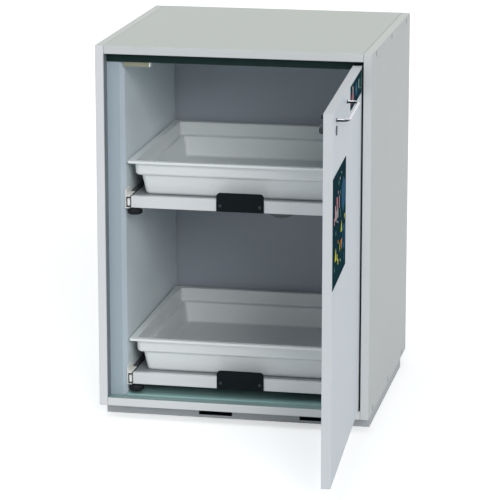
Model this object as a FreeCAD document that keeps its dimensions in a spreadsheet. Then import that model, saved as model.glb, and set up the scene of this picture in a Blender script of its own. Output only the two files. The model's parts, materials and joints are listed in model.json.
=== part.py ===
import FreeCAD, Part
import math
import os
from types import SimpleNamespace

import Sketcher
from FreeCAD import Placement, Rotation, Vector

# Reagent drawer cabinet: a board cabinet for under a bench, with one door and two drawers on runners.
# X runs to the right, Y to the rear and Z up. The origin is the middle of the plinth, on the floor.
# The door is drawn as it stands when it is open. Lengths are in millimetres and angles in degrees.

SIZES = {
    # carcass
    "body_width": 590,
    "body_depth": 570,
    "plinth_height": 30,
    "body_height": 790,
    "panel_thickness": 18,
    "edge_round": 1,
    # plinth
    "plinth_thickness": 18,
    "plinth_side_inset": 5,
    "plinth_front_inset": 48,
    "plinth_rear_inset": 50,
    "slot_length": 73,
    "slot_height": 10,
    "slot_rise": 6.5,
    "first_slot_middle": -48,
    "slot_spacing": 222,
    "insert_wall": 1.5,
    "insert_depth": 14,
    # back and exhaust
    "back_thickness": 8,
    "back_recess": 22,
    "duct_gap": 20,
    "back_liner_thickness": 6,
    "spigot_radius": 37.5,
    "spigot_wall": 1.5,
    "spigot_flange_width": 12.5,
    "spigot_flange_thickness": 2,
    "ring_width": 10,
    "ring_thickness": 3,
    "exhaust_side_offset": 10,
    "exhaust_rise": 390,
    # lining
    "left_liner_thickness": 37,
    "right_liner_thickness": 29,
    "liner_bevel": 10,
    "ceiling_thickness": 20,
    "floor_thickness": 3,
    "header_seal_thickness": 3,
    # carcass screws and their caps
    "screw_cap_radius": 7,
    "screw_cap_thickness": 1.5,
    "screw_end_distance": 62,
    "screw_head_radius": 3.5,
    "screw_head_height": 2.5,
    "screw_shank_radius": 2,
    "screw_length": 42,
    "screw_clearance": 0.15,
    "screw_end_gap": 0.5,
    # door
    "door_thickness": 19,
    "door_side_gap": 4.5,
    "door_top_gap": 8,
    "door_bottom_gap": 3,
    "door_seal_gap": 8,
    "open_angle": 93,
    "hinge_pin_radius": 4,
    "pivot_pin_bite": 12,
    "pivot_plate_thickness": 2,
    "pivot_plate_length": 42,
    "pivot_plate_width": 17,
    "bush_wall": 2,
    "bush_depth_beyond_pin": 2,
    "bush_flange_width": 2,
    "running_gap": 0.3,
    "running_fit": 0.05,
    "snug_fit": 0.05,
    # door handle
    "handle_spacing": 192,
    "handle_end_distance": 55,
    "handle_drop": 23,
    "handle_reach": 23,
    "handle_wire_radius": 3,
    "handle_bend": 12,
    "handle_screw_radius": 1.5,
    "handle_screw_head_radius": 3.5,
    "handle_screw_head_height": 2.5,
    "handle_screw_bite": 9,
    # lock
    "lock_drop": 43,
    "lock_barrel_radius": 8,
    "lock_collar_radius": 9.5,
    "lock_collar_thickness": 1.5,
    "lock_barrel_tail": 10.7,
    "lock_rotor_radius": 6,
    "lock_key_slot_length": 7,
    "lock_key_slot_width": 1.6,
    "lock_key_slot_depth": 8,
    "lock_nut_radius": 11,
    "lock_nut_thickness": 4,
    "cam_length": 28,
    "cam_half_width": 6,
    "cam_thickness": 2.5,
    "strike_length": 55,
    "strike_drop": 10,
    "strike_leg": 18,
    "strike_thickness": 1.5,
    # door plates and buffer
    "sign_thickness": 1,
    "upper_sign_height": 48,
    "upper_sign_drop": 5,
    "lower_sign_length": 225,
    "lower_sign_height": 218,
    "lower_sign_end_distance": 2,
    "lower_sign_drop": 128,
    "door_buffer_radius": 4,
    "door_buffer_edge_distance": 8,
    # drawers
    "runner_space": 12,
    "runner_length": 450,
    "runner_setback": 4,
    "runner_height": 27,
    "runner_plate_height": 40,
    "runner_plate_length": 48,
    "runner_plate_round": 11,
    "runner_drop": 1,
    "runner_sheet": 1.5,
    "runner_side_gap": 1,
    "drawer_setback": 6,
    "rail_height": 25,
    "rail_depth": 12,
    "sheet": 1.5,
    "pan_length": 450,
    "pan_flange": 19.5,
    "upper_rail_rise": 465,
    "drawer_spacing": 393,
    "grip_offset": 6,
    "grip_length": 103,
    "grip_height": 41,
    "grip_thickness": 3,
    "grip_top_round": 9,
    "grip_edge_round": 0.8,
    "grip_screw_end_distance": 8.5,
    "grip_screw_head_radius": 3.5,
    "grip_screw_head_height": 1.5,
    "grip_screw_radius": 2,
    "grip_screw_length": 8.5,
    "disc_radius": 16,
    "disc_thickness": 11,
    "disc_round": 4,
    "disc_neck_radius": 5,
    "disc_neck_height": 3,
    "disc_end_distance": 7,
    # trays
    "tray_wall_gap": 4,
    "tray_depth": 466,
    "tray_height": 78,
    "tray_lip": 5,
    "tray_rim_width": 12,
    "tray_step_rise": 45,
    "tray_step_width": 10.5,
    "tray_upper_draft": 1.5,
    "tray_lower_draft": 8,
    "tray_wall": 3,
    "tray_corner_round": 12,
    "tray_rim_round": 3,
    "tray_foot_round": 5,
    "tray_lip_round": 1,
}

# The upper door plate, as shares of the free width between the handle and the hinge edge.
UPPER_SIGN_START_SHARE = 0.2
UPPER_SIGN_LENGTH_SHARE = 0.71

HALF_TURN = 180
QUARTER_TURN = 90
QUARTER_RADIANS = math.pi / 2
TOUCH = 1e-4

doc = FreeCAD.newDocument("reagent_drawer_cabinet")
sheet = doc.addObject("Spreadsheet::Sheet", "sizes")
for row, (name, number) in enumerate(SIZES.items(), start=1):
    sheet.set(f"A{row}", name)
    sheet.set(f"B{row}", str(number))
    sheet.setAlias(f"B{row}", name)
doc.recompute()


class Size:
    """A size of the sheet, or a sum of sizes: its number, and the expression that gives it."""

    def __init__(self, number, text):
        self.number = number
        self.text = text

    def __add__(self, other):
        return Size(self.number + other.number, f"({self.text} + {other.text})")

    def __sub__(self, other):
        return Size(self.number - other.number, f"({self.text} - {other.text})")

    def __mul__(self, factor):
        return Size(self.number * factor, f"({self.text} * {factor})")

    def __truediv__(self, factor):
        return Size(self.number / factor, f"({self.text} / {factor})")

    def __neg__(self):
        return self * -1


s = SimpleNamespace(**{name: Size(float(sheet.get(name)), f"sizes.{name}") for name in SIZES})
MIDDLE = s.body_width * 0

# Planes that the pieces line up with.
left = -s.body_width / 2
right = s.body_width / 2
front = -s.body_depth / 2
rear = s.body_depth / 2
inner_left = left + s.panel_thickness
inner_right = right - s.panel_thickness
base_under = s.plinth_height
base_top = base_under + s.panel_thickness
cabinet_top = s.plinth_height + s.body_height
top_under = cabinet_top - s.panel_thickness
ceiling_under = top_under - s.ceiling_thickness
floor_top = base_top + s.floor_thickness
wall_left = inner_left + s.left_liner_thickness
wall_right = inner_right - s.right_liner_thickness
back_rear = rear - s.back_recess
back_front = back_rear - s.back_thickness
back_liner_rear = back_front - s.duct_gap
back_liner_front = back_liner_rear - s.back_liner_thickness
door_inner = front + s.door_thickness
liner_front = door_inner + s.door_seal_gap

# The closed door, and the upright line that it turns about.
door_left = inner_left + s.door_side_gap
door_right = inner_right - s.door_side_gap
door_bottom = base_top + s.door_bottom_gap
door_top = top_under - s.door_top_gap
hinge_x = door_right - s.door_thickness / 2
hinge_y = front + s.door_thickness / 2

# What the drawers share.
frame_left = wall_left + s.runner_space
frame_right = wall_right - s.runner_space
frame_width = frame_right - frame_left
frame_middle = (frame_left + frame_right) / 2
rail_front = liner_front + s.drawer_setback
runner_front = liner_front + s.runner_setback

# Ways that a round piece can point, from its start.
ALONG_X = Rotation(Vector(0, 1, 0), QUARTER_TURN)
AGAINST_X = Rotation(Vector(0, 1, 0), -QUARTER_TURN)
ALONG_Y = Rotation(Vector(1, 0, 0), -QUARTER_TURN)
AGAINST_Y = Rotation(Vector(1, 0, 0), QUARTER_TURN)
ALONG_Z = Rotation()
AGAINST_Z = Rotation(Vector(1, 0, 0), HALF_TURN)

pieces = []


def bind(thing, **sizes):
    """Ties properties of a feature to sizes. Two underscores stand for a dot."""
    for prop, size in sizes.items():
        thing.setExpression(prop.replace("__", "."), size.text)


def place(thing, x, y, z):
    bind(thing, Placement__Base__x=x, Placement__Base__y=y, Placement__Base__z=z)


def new_body(label):
    body = doc.addObject("PartDesign::Body", label)
    body.Label = label
    return body


def new_piece(label):
    """An empty body, which is one sub-part of the cabinet."""
    body = new_body(label)
    pieces.append(body)
    return body


def add_box(body, kind, x, y, z, length, width, height):
    box = body.newObject(f"PartDesign::{kind}Box", f"{body.Name}_box")
    bind(box, Length=length, Width=width, Height=height)
    place(box, x, y, z)
    return box


def add_round(body, kind, x, y, z, radius, height, turn=ALONG_Z):
    """A cylinder that starts at its point and goes the way of its turn."""
    cylinder = body.newObject(f"PartDesign::{kind}Cylinder", f"{body.Name}_round")
    bind(cylinder, Radius=radius, Height=height)
    cylinder.Placement = Placement(Vector(), turn)
    place(cylinder, x, y, z)
    return cylinder


def round_edges(body, radius, chosen=None, kind="Fillet"):
    """Rounds or bevels all edges of a body, or those that a test of the edge chooses."""
    doc.recompute()
    base = body.Tip
    edges = enumerate(base.Shape.Edges, start=1)
    names = [f"Edge{i}" for i, edge in edges if chosen is None or chosen(edge)]
    feature = body.newObject(f"PartDesign::{kind}", f"{body.Name}_{kind.lower()}")
    feature.Base = (base, names)
    bind(feature, **{"Size" if kind == "Chamfer" else "Radius": radius})
    return feature


def near(number, size):
    return abs(number - size.number) < TOUCH


def edge_at(edge, x=None, y=None, z=None):
    """True for an edge whose ends and middle lie in the planes that are named."""
    start, end = edge.ParameterRange
    points = [edge.valueAt(start + (end - start) * share) for share in (0, 0.5, 1)]
    planes = [(i, size) for i, size in enumerate((x, y, z)) if size is not None]
    return all(near(point[i], size) for point in points for i, size in planes)


def board(label, x, y, z, length, width, height):
    """A flat board with all its edges slightly rounded."""
    body = new_piece(label)
    add_box(body, "Additive", x, y, z, length, width, height)
    round_edges(body, s.edge_round)
    return body


def block(label, x, y, z, length, width, height):
    """A flat piece with square edges."""
    body = new_piece(label)
    add_box(body, "Additive", x, y, z, length, width, height)
    return body


def sketch_on(body, role, offset):
    """A sketch on one of the body's own planes, moved along the plane's normal."""
    plane = next(f for f in body.Origin.OriginFeatures if f.Role == role)
    sketch = body.newObject("Sketcher::SketchObject", f"{body.Name}_sketch")
    sketch.AttachmentSupport = [(plane, "")]
    sketch.MapMode = "FlatFace"
    bind(sketch, AttachmentOffset__Base__z=offset)
    return sketch


def fix(sketch, kind, items, size):
    """A constraint of the sketch whose value is tied to a size."""
    index = sketch.addConstraint(Sketcher.Constraint(kind, *items, size.number))
    sketch.setExpression(f"Constraints[{index}]", size.text)


def draw_outline(sketch, points):
    """A closed outline of straight lines, with every corner tied to its two sizes."""
    corners = [Vector(u.number, v.number, 0) for u, v in points]
    for start, end in zip(corners, corners[1:] + corners[:1]):
        sketch.addGeometry(Part.LineSegment(start, end), False)
    for i in range(len(points)):
        sketch.addConstraint(Sketcher.Constraint("Coincident", i, 2, (i + 1) % len(points), 1))
    for i, (u, v) in enumerate(points):
        fix(sketch, "DistanceX", (-1, 1, i, 1), u)
        fix(sketch, "DistanceY", (-1, 1, i, 1), v)


def draw_rounded_rectangle(sketch, low_u, high_u, low_v, high_v, radius):
    """Four lines, numbered from the low one anticlockwise, and the four arcs that join them."""
    r, u0, u1, v0, v1 = (size.number for size in (radius, low_u, high_u, low_v, high_v))
    lines = [
        (Vector(u0 + r, v0, 0), Vector(u1 - r, v0, 0)),
        (Vector(u1, v0 + r, 0), Vector(u1, v1 - r, 0)),
        (Vector(u1 - r, v1, 0), Vector(u0 + r, v1, 0)),
        (Vector(u0, v1 - r, 0), Vector(u0, v0 + r, 0)),
    ]
    centres = [(u1 - r, v0 + r), (u1 - r, v1 - r), (u0 + r, v1 - r), (u0 + r, v0 + r)]
    for start, end in lines:
        sketch.addGeometry(Part.LineSegment(start, end), False)
    for i, (u, v) in enumerate(centres):
        circle = Part.Circle(Vector(u, v, 0), Vector(0, 0, 1), r)
        start, end = (i - 1) * QUARTER_RADIANS, i * QUARTER_RADIANS
        sketch.addGeometry(Part.ArcOfCircle(circle, start, end), False)
    for i in range(4):
        sketch.addConstraint(Sketcher.Constraint("Tangent", i, 2, i + 4, 1))
        sketch.addConstraint(Sketcher.Constraint("Tangent", i + 4, 2, (i + 1) % 4, 1))
    for i, way in enumerate(("Horizontal", "Vertical", "Horizontal", "Vertical")):
        sketch.addConstraint(Sketcher.Constraint(way, i))
    for i in (5, 6, 7):
        sketch.addConstraint(Sketcher.Constraint("Equal", 4, i))
    fix(sketch, "Radius", (4,), radius)
    fix(sketch, "DistanceY", (-1, 1, 0, 1), low_v)
    fix(sketch, "DistanceX", (-1, 1, 1, 1), high_u)
    fix(sketch, "DistanceY", (-1, 1, 2, 1), high_v)
    fix(sketch, "DistanceX", (-1, 1, 3, 1), low_u)


def pad(body, sketch, length):
    feature = body.newObject("PartDesign::Pad", f"{body.Name}_pad")
    feature.Profile = sketch
    bind(feature, Length=length)
    return feature


def prism(body, role, offset, length, points):
    """An outline on one of the body's planes, given its length along the plane's normal."""
    sketch = sketch_on(body, role, offset)
    draw_outline(sketch, points)
    return pad(body, sketch, length)


def turned_piece(label, x, z, points):
    """A piece turned about the line along Y at x and z. Its points are a radius and a place along Y."""
    body = new_piece(label)
    sketch = sketch_on(body, "XY_Plane", z)
    bind(sketch, AttachmentOffset__Base__x=x)
    draw_outline(sketch, points)
    feature = body.newObject("PartDesign::Revolution", f"{label}_turned")
    feature.Profile = sketch
    feature.ReferenceAxis = (sketch, ["V_Axis"])
    feature.Angle = 2 * HALF_TURN
    return body


def channel(u, way, depth, low, high, wall):
    """The outline of a sheet bent to a channel: a web at u with two flanges that point along u."""
    tip, inside = u + depth * way, u + wall * way
    outer = [(u, low), (tip, low), (tip, low + wall), (inside, low + wall)]
    return outer + [(inside, high - wall), (tip, high - wall), (tip, high), (u, high)]


def headed_pin(name, x, y, z, head, shank, turn):
    """A head that starts at its point and goes the way of its turn, and a shank beyond it."""
    (head_radius, head_height), (shank_radius, shank_length) = head, shank
    way = turn.multVec(Vector(0, 0, 1))
    steps = [head_height * round(step) for step in way]
    solids = []
    for at, radius, length in (
        ((x, y, z), head_radius, head_height),
        ((x + steps[0], y + steps[1], z + steps[2]), shank_radius, shank_length),
    ):
        cylinder = doc.addObject("Part::Cylinder", f"{name}_round")
        bind(cylinder, Radius=radius, Height=length)
        cylinder.Placement = Placement(Vector(), turn)
        place(cylinder, *at)
        solids.append(cylinder)
    pin = doc.addObject("Part::Fuse", f"{name}_one")
    pin.Base, pin.Tool = solids
    return pin


def group(label, members):
    """Like pieces that share one node, each a solid of its own."""
    compound = doc.addObject("Part::Compound", label)
    compound.Label = label
    compound.Links = members
    pieces.append(compound)
    return compound


def make_carcass():
    """Two sides that run full height, the top and base boards between them, screws and their caps."""
    inner_width = inner_right - inner_left
    sides = []
    for label, x in (("side_panel_left", left), ("side_panel_right", inner_right)):
        sides.append(board(label, x, front, base_under, s.panel_thickness, s.body_depth, s.body_height))
    levels = []
    for label, z in (("base_board", base_under), ("top_board", top_under)):
        levels.append(board(label, inner_left, front, z, inner_width, s.body_depth, s.panel_thickness))
    shank_hole = s.screw_shank_radius + s.screw_clearance
    head_hole = s.screw_head_radius + s.screw_clearance
    cap_hole = s.screw_cap_radius + s.screw_clearance
    seat = s.screw_cap_thickness + s.screw_head_height
    reach = seat + s.screw_length - s.panel_thickness
    head = (s.screw_head_radius, s.screw_head_height)
    shank = (s.screw_shank_radius, s.screw_length)
    end = s.body_depth / 2 - s.screw_end_distance
    screws, caps = [], []
    for side, outer, way, turn in ((sides[0], left, 1, ALONG_X), (sides[1], right, -1, AGAINST_X)):
        for level, low in zip(levels, (base_under, top_under)):
            z = low + s.panel_thickness / 2
            for y in (-end, MIDDLE, end):
                add_round(side, "Subtractive", outer, y, z, cap_hole, s.screw_cap_thickness, turn)
                add_round(side, "Subtractive", outer, y, z, head_hole, seat, turn)
                add_round(side, "Subtractive", outer, y, z, shank_hole, s.panel_thickness, turn)
                inner = outer + s.panel_thickness * way
                add_round(level, "Subtractive", inner, y, z, shank_hole, reach, turn)
                sunk = outer + s.screw_cap_thickness * way
                screws.append(headed_pin("carcass_screw", sunk, y, z, head, shank, turn))
                cap = new_body("screw_cap")
                add_round(cap, "Additive", outer, y, z, s.screw_cap_radius, s.screw_cap_thickness, turn)
                caps.append(cap)
    group("carcass_screws", screws)
    group("screw_caps", caps)


def make_plinth():
    """A frame of boards set back from the sides, with a middle brace and two slots in its front."""
    low_x, high_x = left + s.plinth_side_inset, right - s.plinth_side_inset
    low_y, high_y = front + s.plinth_front_inset, rear - s.plinth_rear_inset
    thick, height = s.plinth_thickness, s.plinth_height
    inside = high_y - low_y - thick * 2
    face = block("plinth_front", low_x, low_y, MIDDLE, high_x - low_x, thick, height)
    block("plinth_rear", low_x, high_y - thick, MIDDLE, high_x - low_x, thick, height)
    block("plinth_left", low_x, low_y + thick, MIDDLE, thick, inside, height)
    block("plinth_right", high_x - thick, low_y + thick, MIDDLE, thick, inside, height)
    block("plinth_brace", -thick / 2, low_y + thick, MIDDLE, thick, inside, height)
    wall = s.insert_wall
    trays = []
    for middle in (s.first_slot_middle, s.first_slot_middle + s.slot_spacing):
        x = middle - s.slot_length / 2
        add_box(face, "Subtractive", x, low_y, s.slot_rise, s.slot_length, thick, s.slot_height)
        tray = new_body("plinth_insert")
        deep = s.insert_depth + wall
        add_box(tray, "Additive", x, low_y, s.slot_rise, s.slot_length, deep, s.slot_height)
        opening = (s.slot_length - wall * 2, s.insert_depth, s.slot_height - wall * 2)
        add_box(tray, "Subtractive", x + wall, low_y, s.slot_rise + wall, *opening)
        trays.append(tray)
    group("plinth_inserts", trays)


def make_lining():
    """The lining of the inside, which stands back behind the closed door."""
    depth = back_liner_front - liner_front
    height = ceiling_under - base_top
    sides = (
        ("liner_left", inner_left, s.left_liner_thickness, wall_left),
        ("liner_right", wall_right, s.right_liner_thickness, wall_right),
    )
    for label, x, thick, wall in sides:
        panel = block(label, x, liner_front, base_top, thick, depth, height)
        round_edges(panel, s.liner_bevel, lambda e, w=wall: edge_at(e, x=w, y=liner_front), "Chamfer")
    width = inner_right - inner_left
    block("liner_ceiling", inner_left, liner_front, ceiling_under, width, depth, s.ceiling_thickness)
    block("liner_floor", wall_left, liner_front, base_top, wall_right - wall_left, depth,
          s.floor_thickness)
    seal_front = liner_front - s.header_seal_thickness
    block("header_seal", inner_left, seal_front, ceiling_under, width, s.header_seal_thickness,
          s.ceiling_thickness)


def make_back_and_exhaust():
    """The back lining and back board, with a round duct that passes through both."""
    width, height = inner_right - inner_left, top_under - base_top
    liner = block("back_liner", inner_left, back_liner_front, base_top, width,
                  s.back_liner_thickness, height)
    back = block("back_board", inner_left, back_front, base_top, width, s.back_thickness, height)
    x, z = s.exhaust_side_offset, s.exhaust_rise
    hole = s.spigot_radius + s.running_gap
    add_round(liner, "Subtractive", x, back_liner_front, z, hole, s.back_liner_thickness, ALONG_Y)
    add_round(back, "Subtractive", x, back_front, z, hole, s.back_thickness, ALONG_Y)
    bore = s.spigot_radius - s.spigot_wall
    flange = s.spigot_radius + s.spigot_flange_width
    flange_rear = back_rear + s.spigot_flange_thickness
    turned_piece("exhaust_spigot", x, z, [
        (bore, back_liner_front), (s.spigot_radius, back_liner_front), (s.spigot_radius, back_rear),
        (flange, back_rear), (flange, flange_rear), (s.spigot_radius, flange_rear),
        (s.spigot_radius, rear), (bore, rear),
    ])
    ring_front = back_liner_front - s.ring_thickness
    ring_edge = s.spigot_radius + s.ring_width
    turned_piece("vent_ring", x, z, [
        (bore, ring_front), (ring_edge - s.ring_thickness / 2, ring_front),
        (ring_edge, back_liner_front), (bore, back_liner_front),
    ])


def make_pivots():
    """The two plates with a pin that the door turns on."""
    plate_x = inner_right - s.pivot_plate_length
    plate_y = hinge_y - s.pivot_plate_width / 2
    plate = (s.pivot_plate_length, s.pivot_plate_width, s.pivot_plate_thickness)
    lower = block("lower_pivot", plate_x, plate_y, base_top, *plate)
    reach = s.door_bottom_gap + s.pivot_pin_bite
    add_round(lower, "Additive", hinge_x, hinge_y, base_top, s.hinge_pin_radius, reach)
    upper = block("upper_pivot", plate_x, plate_y, top_under - s.pivot_plate_thickness, *plate)
    reach = s.door_top_gap + s.pivot_pin_bite
    add_round(upper, "Additive", hinge_x, hinge_y, top_under, s.hinge_pin_radius, reach, AGAINST_Z)


def make_door():
    """The door as it stands when closed: its board, bushes, handle, lock, plates and buffer."""
    start = len(pieces)
    leaf = board("door_leaf", door_left, front, door_bottom, door_right - door_left,
                 s.door_thickness, door_top - door_bottom)
    make_bushes(leaf)
    make_handle(leaf)
    make_lock(leaf)
    make_door_plates()
    buffer = new_piece("door_buffer")
    reach = s.door_seal_gap - s.header_seal_thickness - s.running_gap
    add_round(buffer, "Additive", door_left + s.door_buffer_edge_distance, door_inner,
              door_top - s.door_buffer_edge_distance, s.door_buffer_radius, reach, ALONG_Y)
    turn = Rotation(Vector(0, 0, 1), s.open_angle.number)
    hinge = Vector(hinge_x.number, hinge_y.number, 0)
    for piece in pieces[start:]:
        piece.Placement = Placement(Vector(), turn, hinge)


def make_bushes(leaf):
    """A flanged bush in each end of the door, round the pivot pins."""
    bore = s.hinge_pin_radius + s.running_fit
    outer = bore + s.bush_wall
    flange = s.door_bottom_gap - s.pivot_plate_thickness - s.running_gap
    depth = s.pivot_pin_bite + s.bush_depth_beyond_pin
    for label, z, way, turn in (
        ("lower_bush", door_bottom, 1, ALONG_Z),
        ("upper_bush", door_top, -1, AGAINST_Z),
    ):
        add_round(leaf, "Subtractive", hinge_x, hinge_y, z, outer + s.snug_fit, depth, turn)
        bush = new_piece(label)
        edge = z - flange * way
        add_round(bush, "Additive", hinge_x, hinge_y, edge, outer + s.bush_flange_width, flange, turn)
        add_round(bush, "Additive", hinge_x, hinge_y, z, outer, depth, turn)
        add_round(bush, "Subtractive", hinge_x, hinge_y, edge, bore, flange + depth, turn)


def make_handle(leaf):
    """A bow of round wire that stands on the door, held by two screws from inside."""
    first = door_left + s.handle_end_distance
    last = first + s.handle_spacing
    z = door_top - s.handle_drop
    bar = front - s.handle_reach
    body = new_piece("door_handle")
    spine = sketch_on(body, "XY_Plane", z)
    draw_bow(spine, first, last, front, bar, s.handle_bend)
    profile = sketch_on(body, "XZ_Plane", -front)
    centre = Vector(first.number, z.number, 0)
    radius = s.handle_wire_radius
    profile.addGeometry(Part.Circle(centre, Vector(0, 0, 1), radius.number), False)
    fix(profile, "Radius", (0,), radius)
    fix(profile, "DistanceX", (-1, 1, 0, 3), first)
    fix(profile, "DistanceY", (-1, 1, 0, 3), z)
    pipe = body.newObject("PartDesign::AdditivePipe", "door_handle_pipe")
    pipe.Profile = profile
    pipe.Spine = (spine, [f"Edge{i}" for i in range(1, 6)])
    hole = s.handle_screw_radius + s.screw_clearance
    head = (s.handle_screw_head_radius, s.handle_screw_head_height)
    shank = (s.handle_screw_radius, s.door_thickness + s.handle_screw_bite)
    screws = []
    for x in (first, last):
        add_round(leaf, "Subtractive", x, front, z, hole, s.door_thickness, ALONG_Y)
        bite = s.handle_screw_bite + s.screw_end_gap
        add_round(body, "Subtractive", x, front, z, hole, bite, AGAINST_Y)
        head_end = door_inner + s.handle_screw_head_height
        screws.append(headed_pin("handle_screw", x, head_end, z, head, shank, AGAINST_Y))
    group("handle_screws", screws)


def draw_bow(sketch, first, last, foot, bar, bend):
    """The middle line of the handle: two legs and a bar, joined by two equal bends."""
    x0, x1, y0, y1, r = (size.number for size in (first, last, foot, bar, bend))
    sketch.addGeometry(Part.LineSegment(Vector(x0, y0, 0), Vector(x0, y1 + r, 0)), False)
    circle = Part.Circle(Vector(x0 + r, y1 + r, 0), Vector(0, 0, 1), r)
    low = Part.ArcOfCircle(circle, 2 * QUARTER_RADIANS, 3 * QUARTER_RADIANS)
    sketch.addGeometry(low, False)
    sketch.addGeometry(Part.LineSegment(Vector(x0 + r, y1, 0), Vector(x1 - r, y1, 0)), False)
    circle = Part.Circle(Vector(x1 - r, y1 + r, 0), Vector(0, 0, 1), r)
    high = Part.ArcOfCircle(circle, 3 * QUARTER_RADIANS, 4 * QUARTER_RADIANS)
    sketch.addGeometry(high, False)
    sketch.addGeometry(Part.LineSegment(Vector(x1, y1 + r, 0), Vector(x1, y0, 0)), False)
    for i in range(4):
        sketch.addConstraint(Sketcher.Constraint("Tangent", i, 2, i + 1, 1))
    sketch.addConstraint(Sketcher.Constraint("Vertical", 0))
    sketch.addConstraint(Sketcher.Constraint("Horizontal", 2))
    sketch.addConstraint(Sketcher.Constraint("Vertical", 4))
    sketch.addConstraint(Sketcher.Constraint("Equal", 1, 3))
    fix(sketch, "Radius", (1,), bend)
    fix(sketch, "DistanceX", (-1, 1, 0, 1), first)
    fix(sketch, "DistanceY", (-1, 1, 0, 1), foot)
    fix(sketch, "DistanceY", (-1, 1, 2, 1), bar)
    fix(sketch, "DistanceX", (-1, 1, 4, 2), last)
    fix(sketch, "DistanceY", (-1, 1, 4, 2), foot)


def make_lock(leaf):
    """A barrel lock through the door: its fixed sleeve and nut, the part that turns, and its tongue."""
    x = door_left + s.handle_end_distance
    z = door_top - s.lock_drop
    hole = s.lock_barrel_radius + s.snug_fit
    add_round(leaf, "Subtractive", x, front, z, hole, s.door_thickness, ALONG_Y)
    face = front - s.lock_collar_thickness
    tail = door_inner + s.lock_barrel_tail
    bore = s.lock_rotor_radius + s.running_fit
    turned_piece("lock_sleeve", x, z, [
        (bore, face), (s.lock_collar_radius, face), (s.lock_collar_radius, front),
        (s.lock_barrel_radius, front), (s.lock_barrel_radius, tail), (bore, tail),
    ])
    nut_end = door_inner + s.lock_nut_thickness
    turned_piece("lock_nut", x, z, [
        (hole, door_inner), (s.lock_nut_radius, door_inner), (s.lock_nut_radius, nut_end),
        (hole, nut_end),
    ])
    cam_start = tail + s.running_gap
    rotor = new_piece("lock_cylinder")
    add_round(rotor, "Additive", x, face, z, s.lock_rotor_radius, cam_start - face, ALONG_Y)
    add_box(rotor, "Subtractive", x - s.lock_key_slot_width / 2, face,
            z - s.lock_key_slot_length / 2, s.lock_key_slot_width, s.lock_key_slot_depth,
            s.lock_key_slot_length)
    cam = new_piece("lock_cam")
    half = s.cam_half_width
    add_box(cam, "Additive", x, cam_start, z - half, s.cam_length, s.cam_thickness, half * 2)
    add_round(cam, "Additive", x, cam_start, z, half, s.cam_thickness, ALONG_Y)


def make_strike():
    """The angle under the ceiling that the lock's tongue turns up behind."""
    body = new_piece("lock_strike")
    low, high = ceiling_under - s.strike_drop, ceiling_under
    wall, leg = s.strike_thickness, liner_front + s.strike_leg
    prism(body, "YZ_Plane", wall_left, s.strike_length, [
        (liner_front, low), (liner_front + wall, low), (liner_front + wall, high - wall),
        (leg, high - wall), (leg, high), (liner_front, high),
    ])


def make_door_plates():
    """Two thin plates on the outer face of the door."""
    handle_end = door_left + s.handle_end_distance + s.handle_spacing
    free_width = door_right - handle_end
    upper_x = handle_end + free_width * UPPER_SIGN_START_SHARE
    upper_length = free_width * UPPER_SIGN_LENGTH_SHARE
    lower_x = door_left + s.lower_sign_end_distance
    for label, x, drop, length, height in (
        ("upper_door_plate", upper_x, s.upper_sign_drop, upper_length, s.upper_sign_height),
        ("lower_door_plate", lower_x, s.lower_sign_drop, s.lower_sign_length, s.lower_sign_height),
    ):
        block(label, x, front - s.sign_thickness, door_top - drop - height, length,
              s.sign_thickness, height)


def make_runners(name, rail_low):
    """On each side of a drawer, three channels that slide in each other.

    The outer one's web stands higher at its front end, as a plate that is fixed to the wall.
    """
    sheet_, gap = s.runner_sheet, s.running_gap
    rear_end = runner_front + s.runner_length
    low = rail_low - s.runner_drop
    high = low + s.runner_height
    step = sheet_ + gap
    lip = s.runner_space - sheet_ - s.runner_side_gap
    for side, wall, frame, way in (
        ("left", wall_left, frame_left, 1),
        ("right", wall_right, frame_right, -1),
    ):
        outlines = {
            "outer": channel(wall, way, lip, low, high, sheet_),
            "middle": channel(wall + step * way, way, lip - step, low + step, high - step, sheet_),
            "inner": channel(frame, -way, s.runner_space - step * 2, low + step * 2,
                             high - step * 2, sheet_),
        }
        for member, points in outlines.items():
            body = new_piece(f"{name}_{member}_runner_{side}")
            prism(body, "XZ_Plane", -rear_end, s.runner_length, points)
            if member == "outer":
                add_runner_plate(body, wall if way > 0 else wall - sheet_, low)


def add_runner_plate(body, x, low):
    length, height = s.runner_plate_length, s.runner_plate_height
    add_box(body, "Additive", x, runner_front, low, s.runner_sheet, length, height)
    rear_edge = runner_front + length
    round_edges(body, s.runner_plate_round, lambda e: edge_at(e, y=rear_edge, z=low + height))


def make_frame(name, rail_low):
    """The sheet steel shelf of a drawer and the rail across its front."""
    rail_high = rail_low + s.rail_height
    wall, pan_top = s.sheet, rail_high - s.sheet
    rail = new_piece(f"{name}_front_rail")
    prism(rail, "YZ_Plane", frame_left, frame_width,
          channel(rail_front, 1, s.rail_depth, rail_low, rail_high, wall))
    along = lambda edge: edge_at(edge, y=rail_front) and not near(edge.BoundBox.XLength, MIDDLE)
    round_edges(rail, s.edge_round, along)
    pan = new_piece(f"{name}_pan")
    pan_front, pan_rear = rail_front + wall, rail_front + s.pan_length
    flange_front, flange_low = rail_front + s.rail_depth, pan_top - s.pan_flange
    add_box(pan, "Additive", frame_left, pan_front, pan_top - wall, frame_width,
            pan_rear - pan_front, wall)
    for x in (frame_left, frame_right - wall):
        add_box(pan, "Additive", x, flange_front, flange_low, wall, pan_rear - flange_front,
                s.pan_flange)
    add_box(pan, "Additive", frame_left, pan_rear - wall, flange_low, frame_width, wall,
            s.pan_flange)
    return rail


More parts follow.
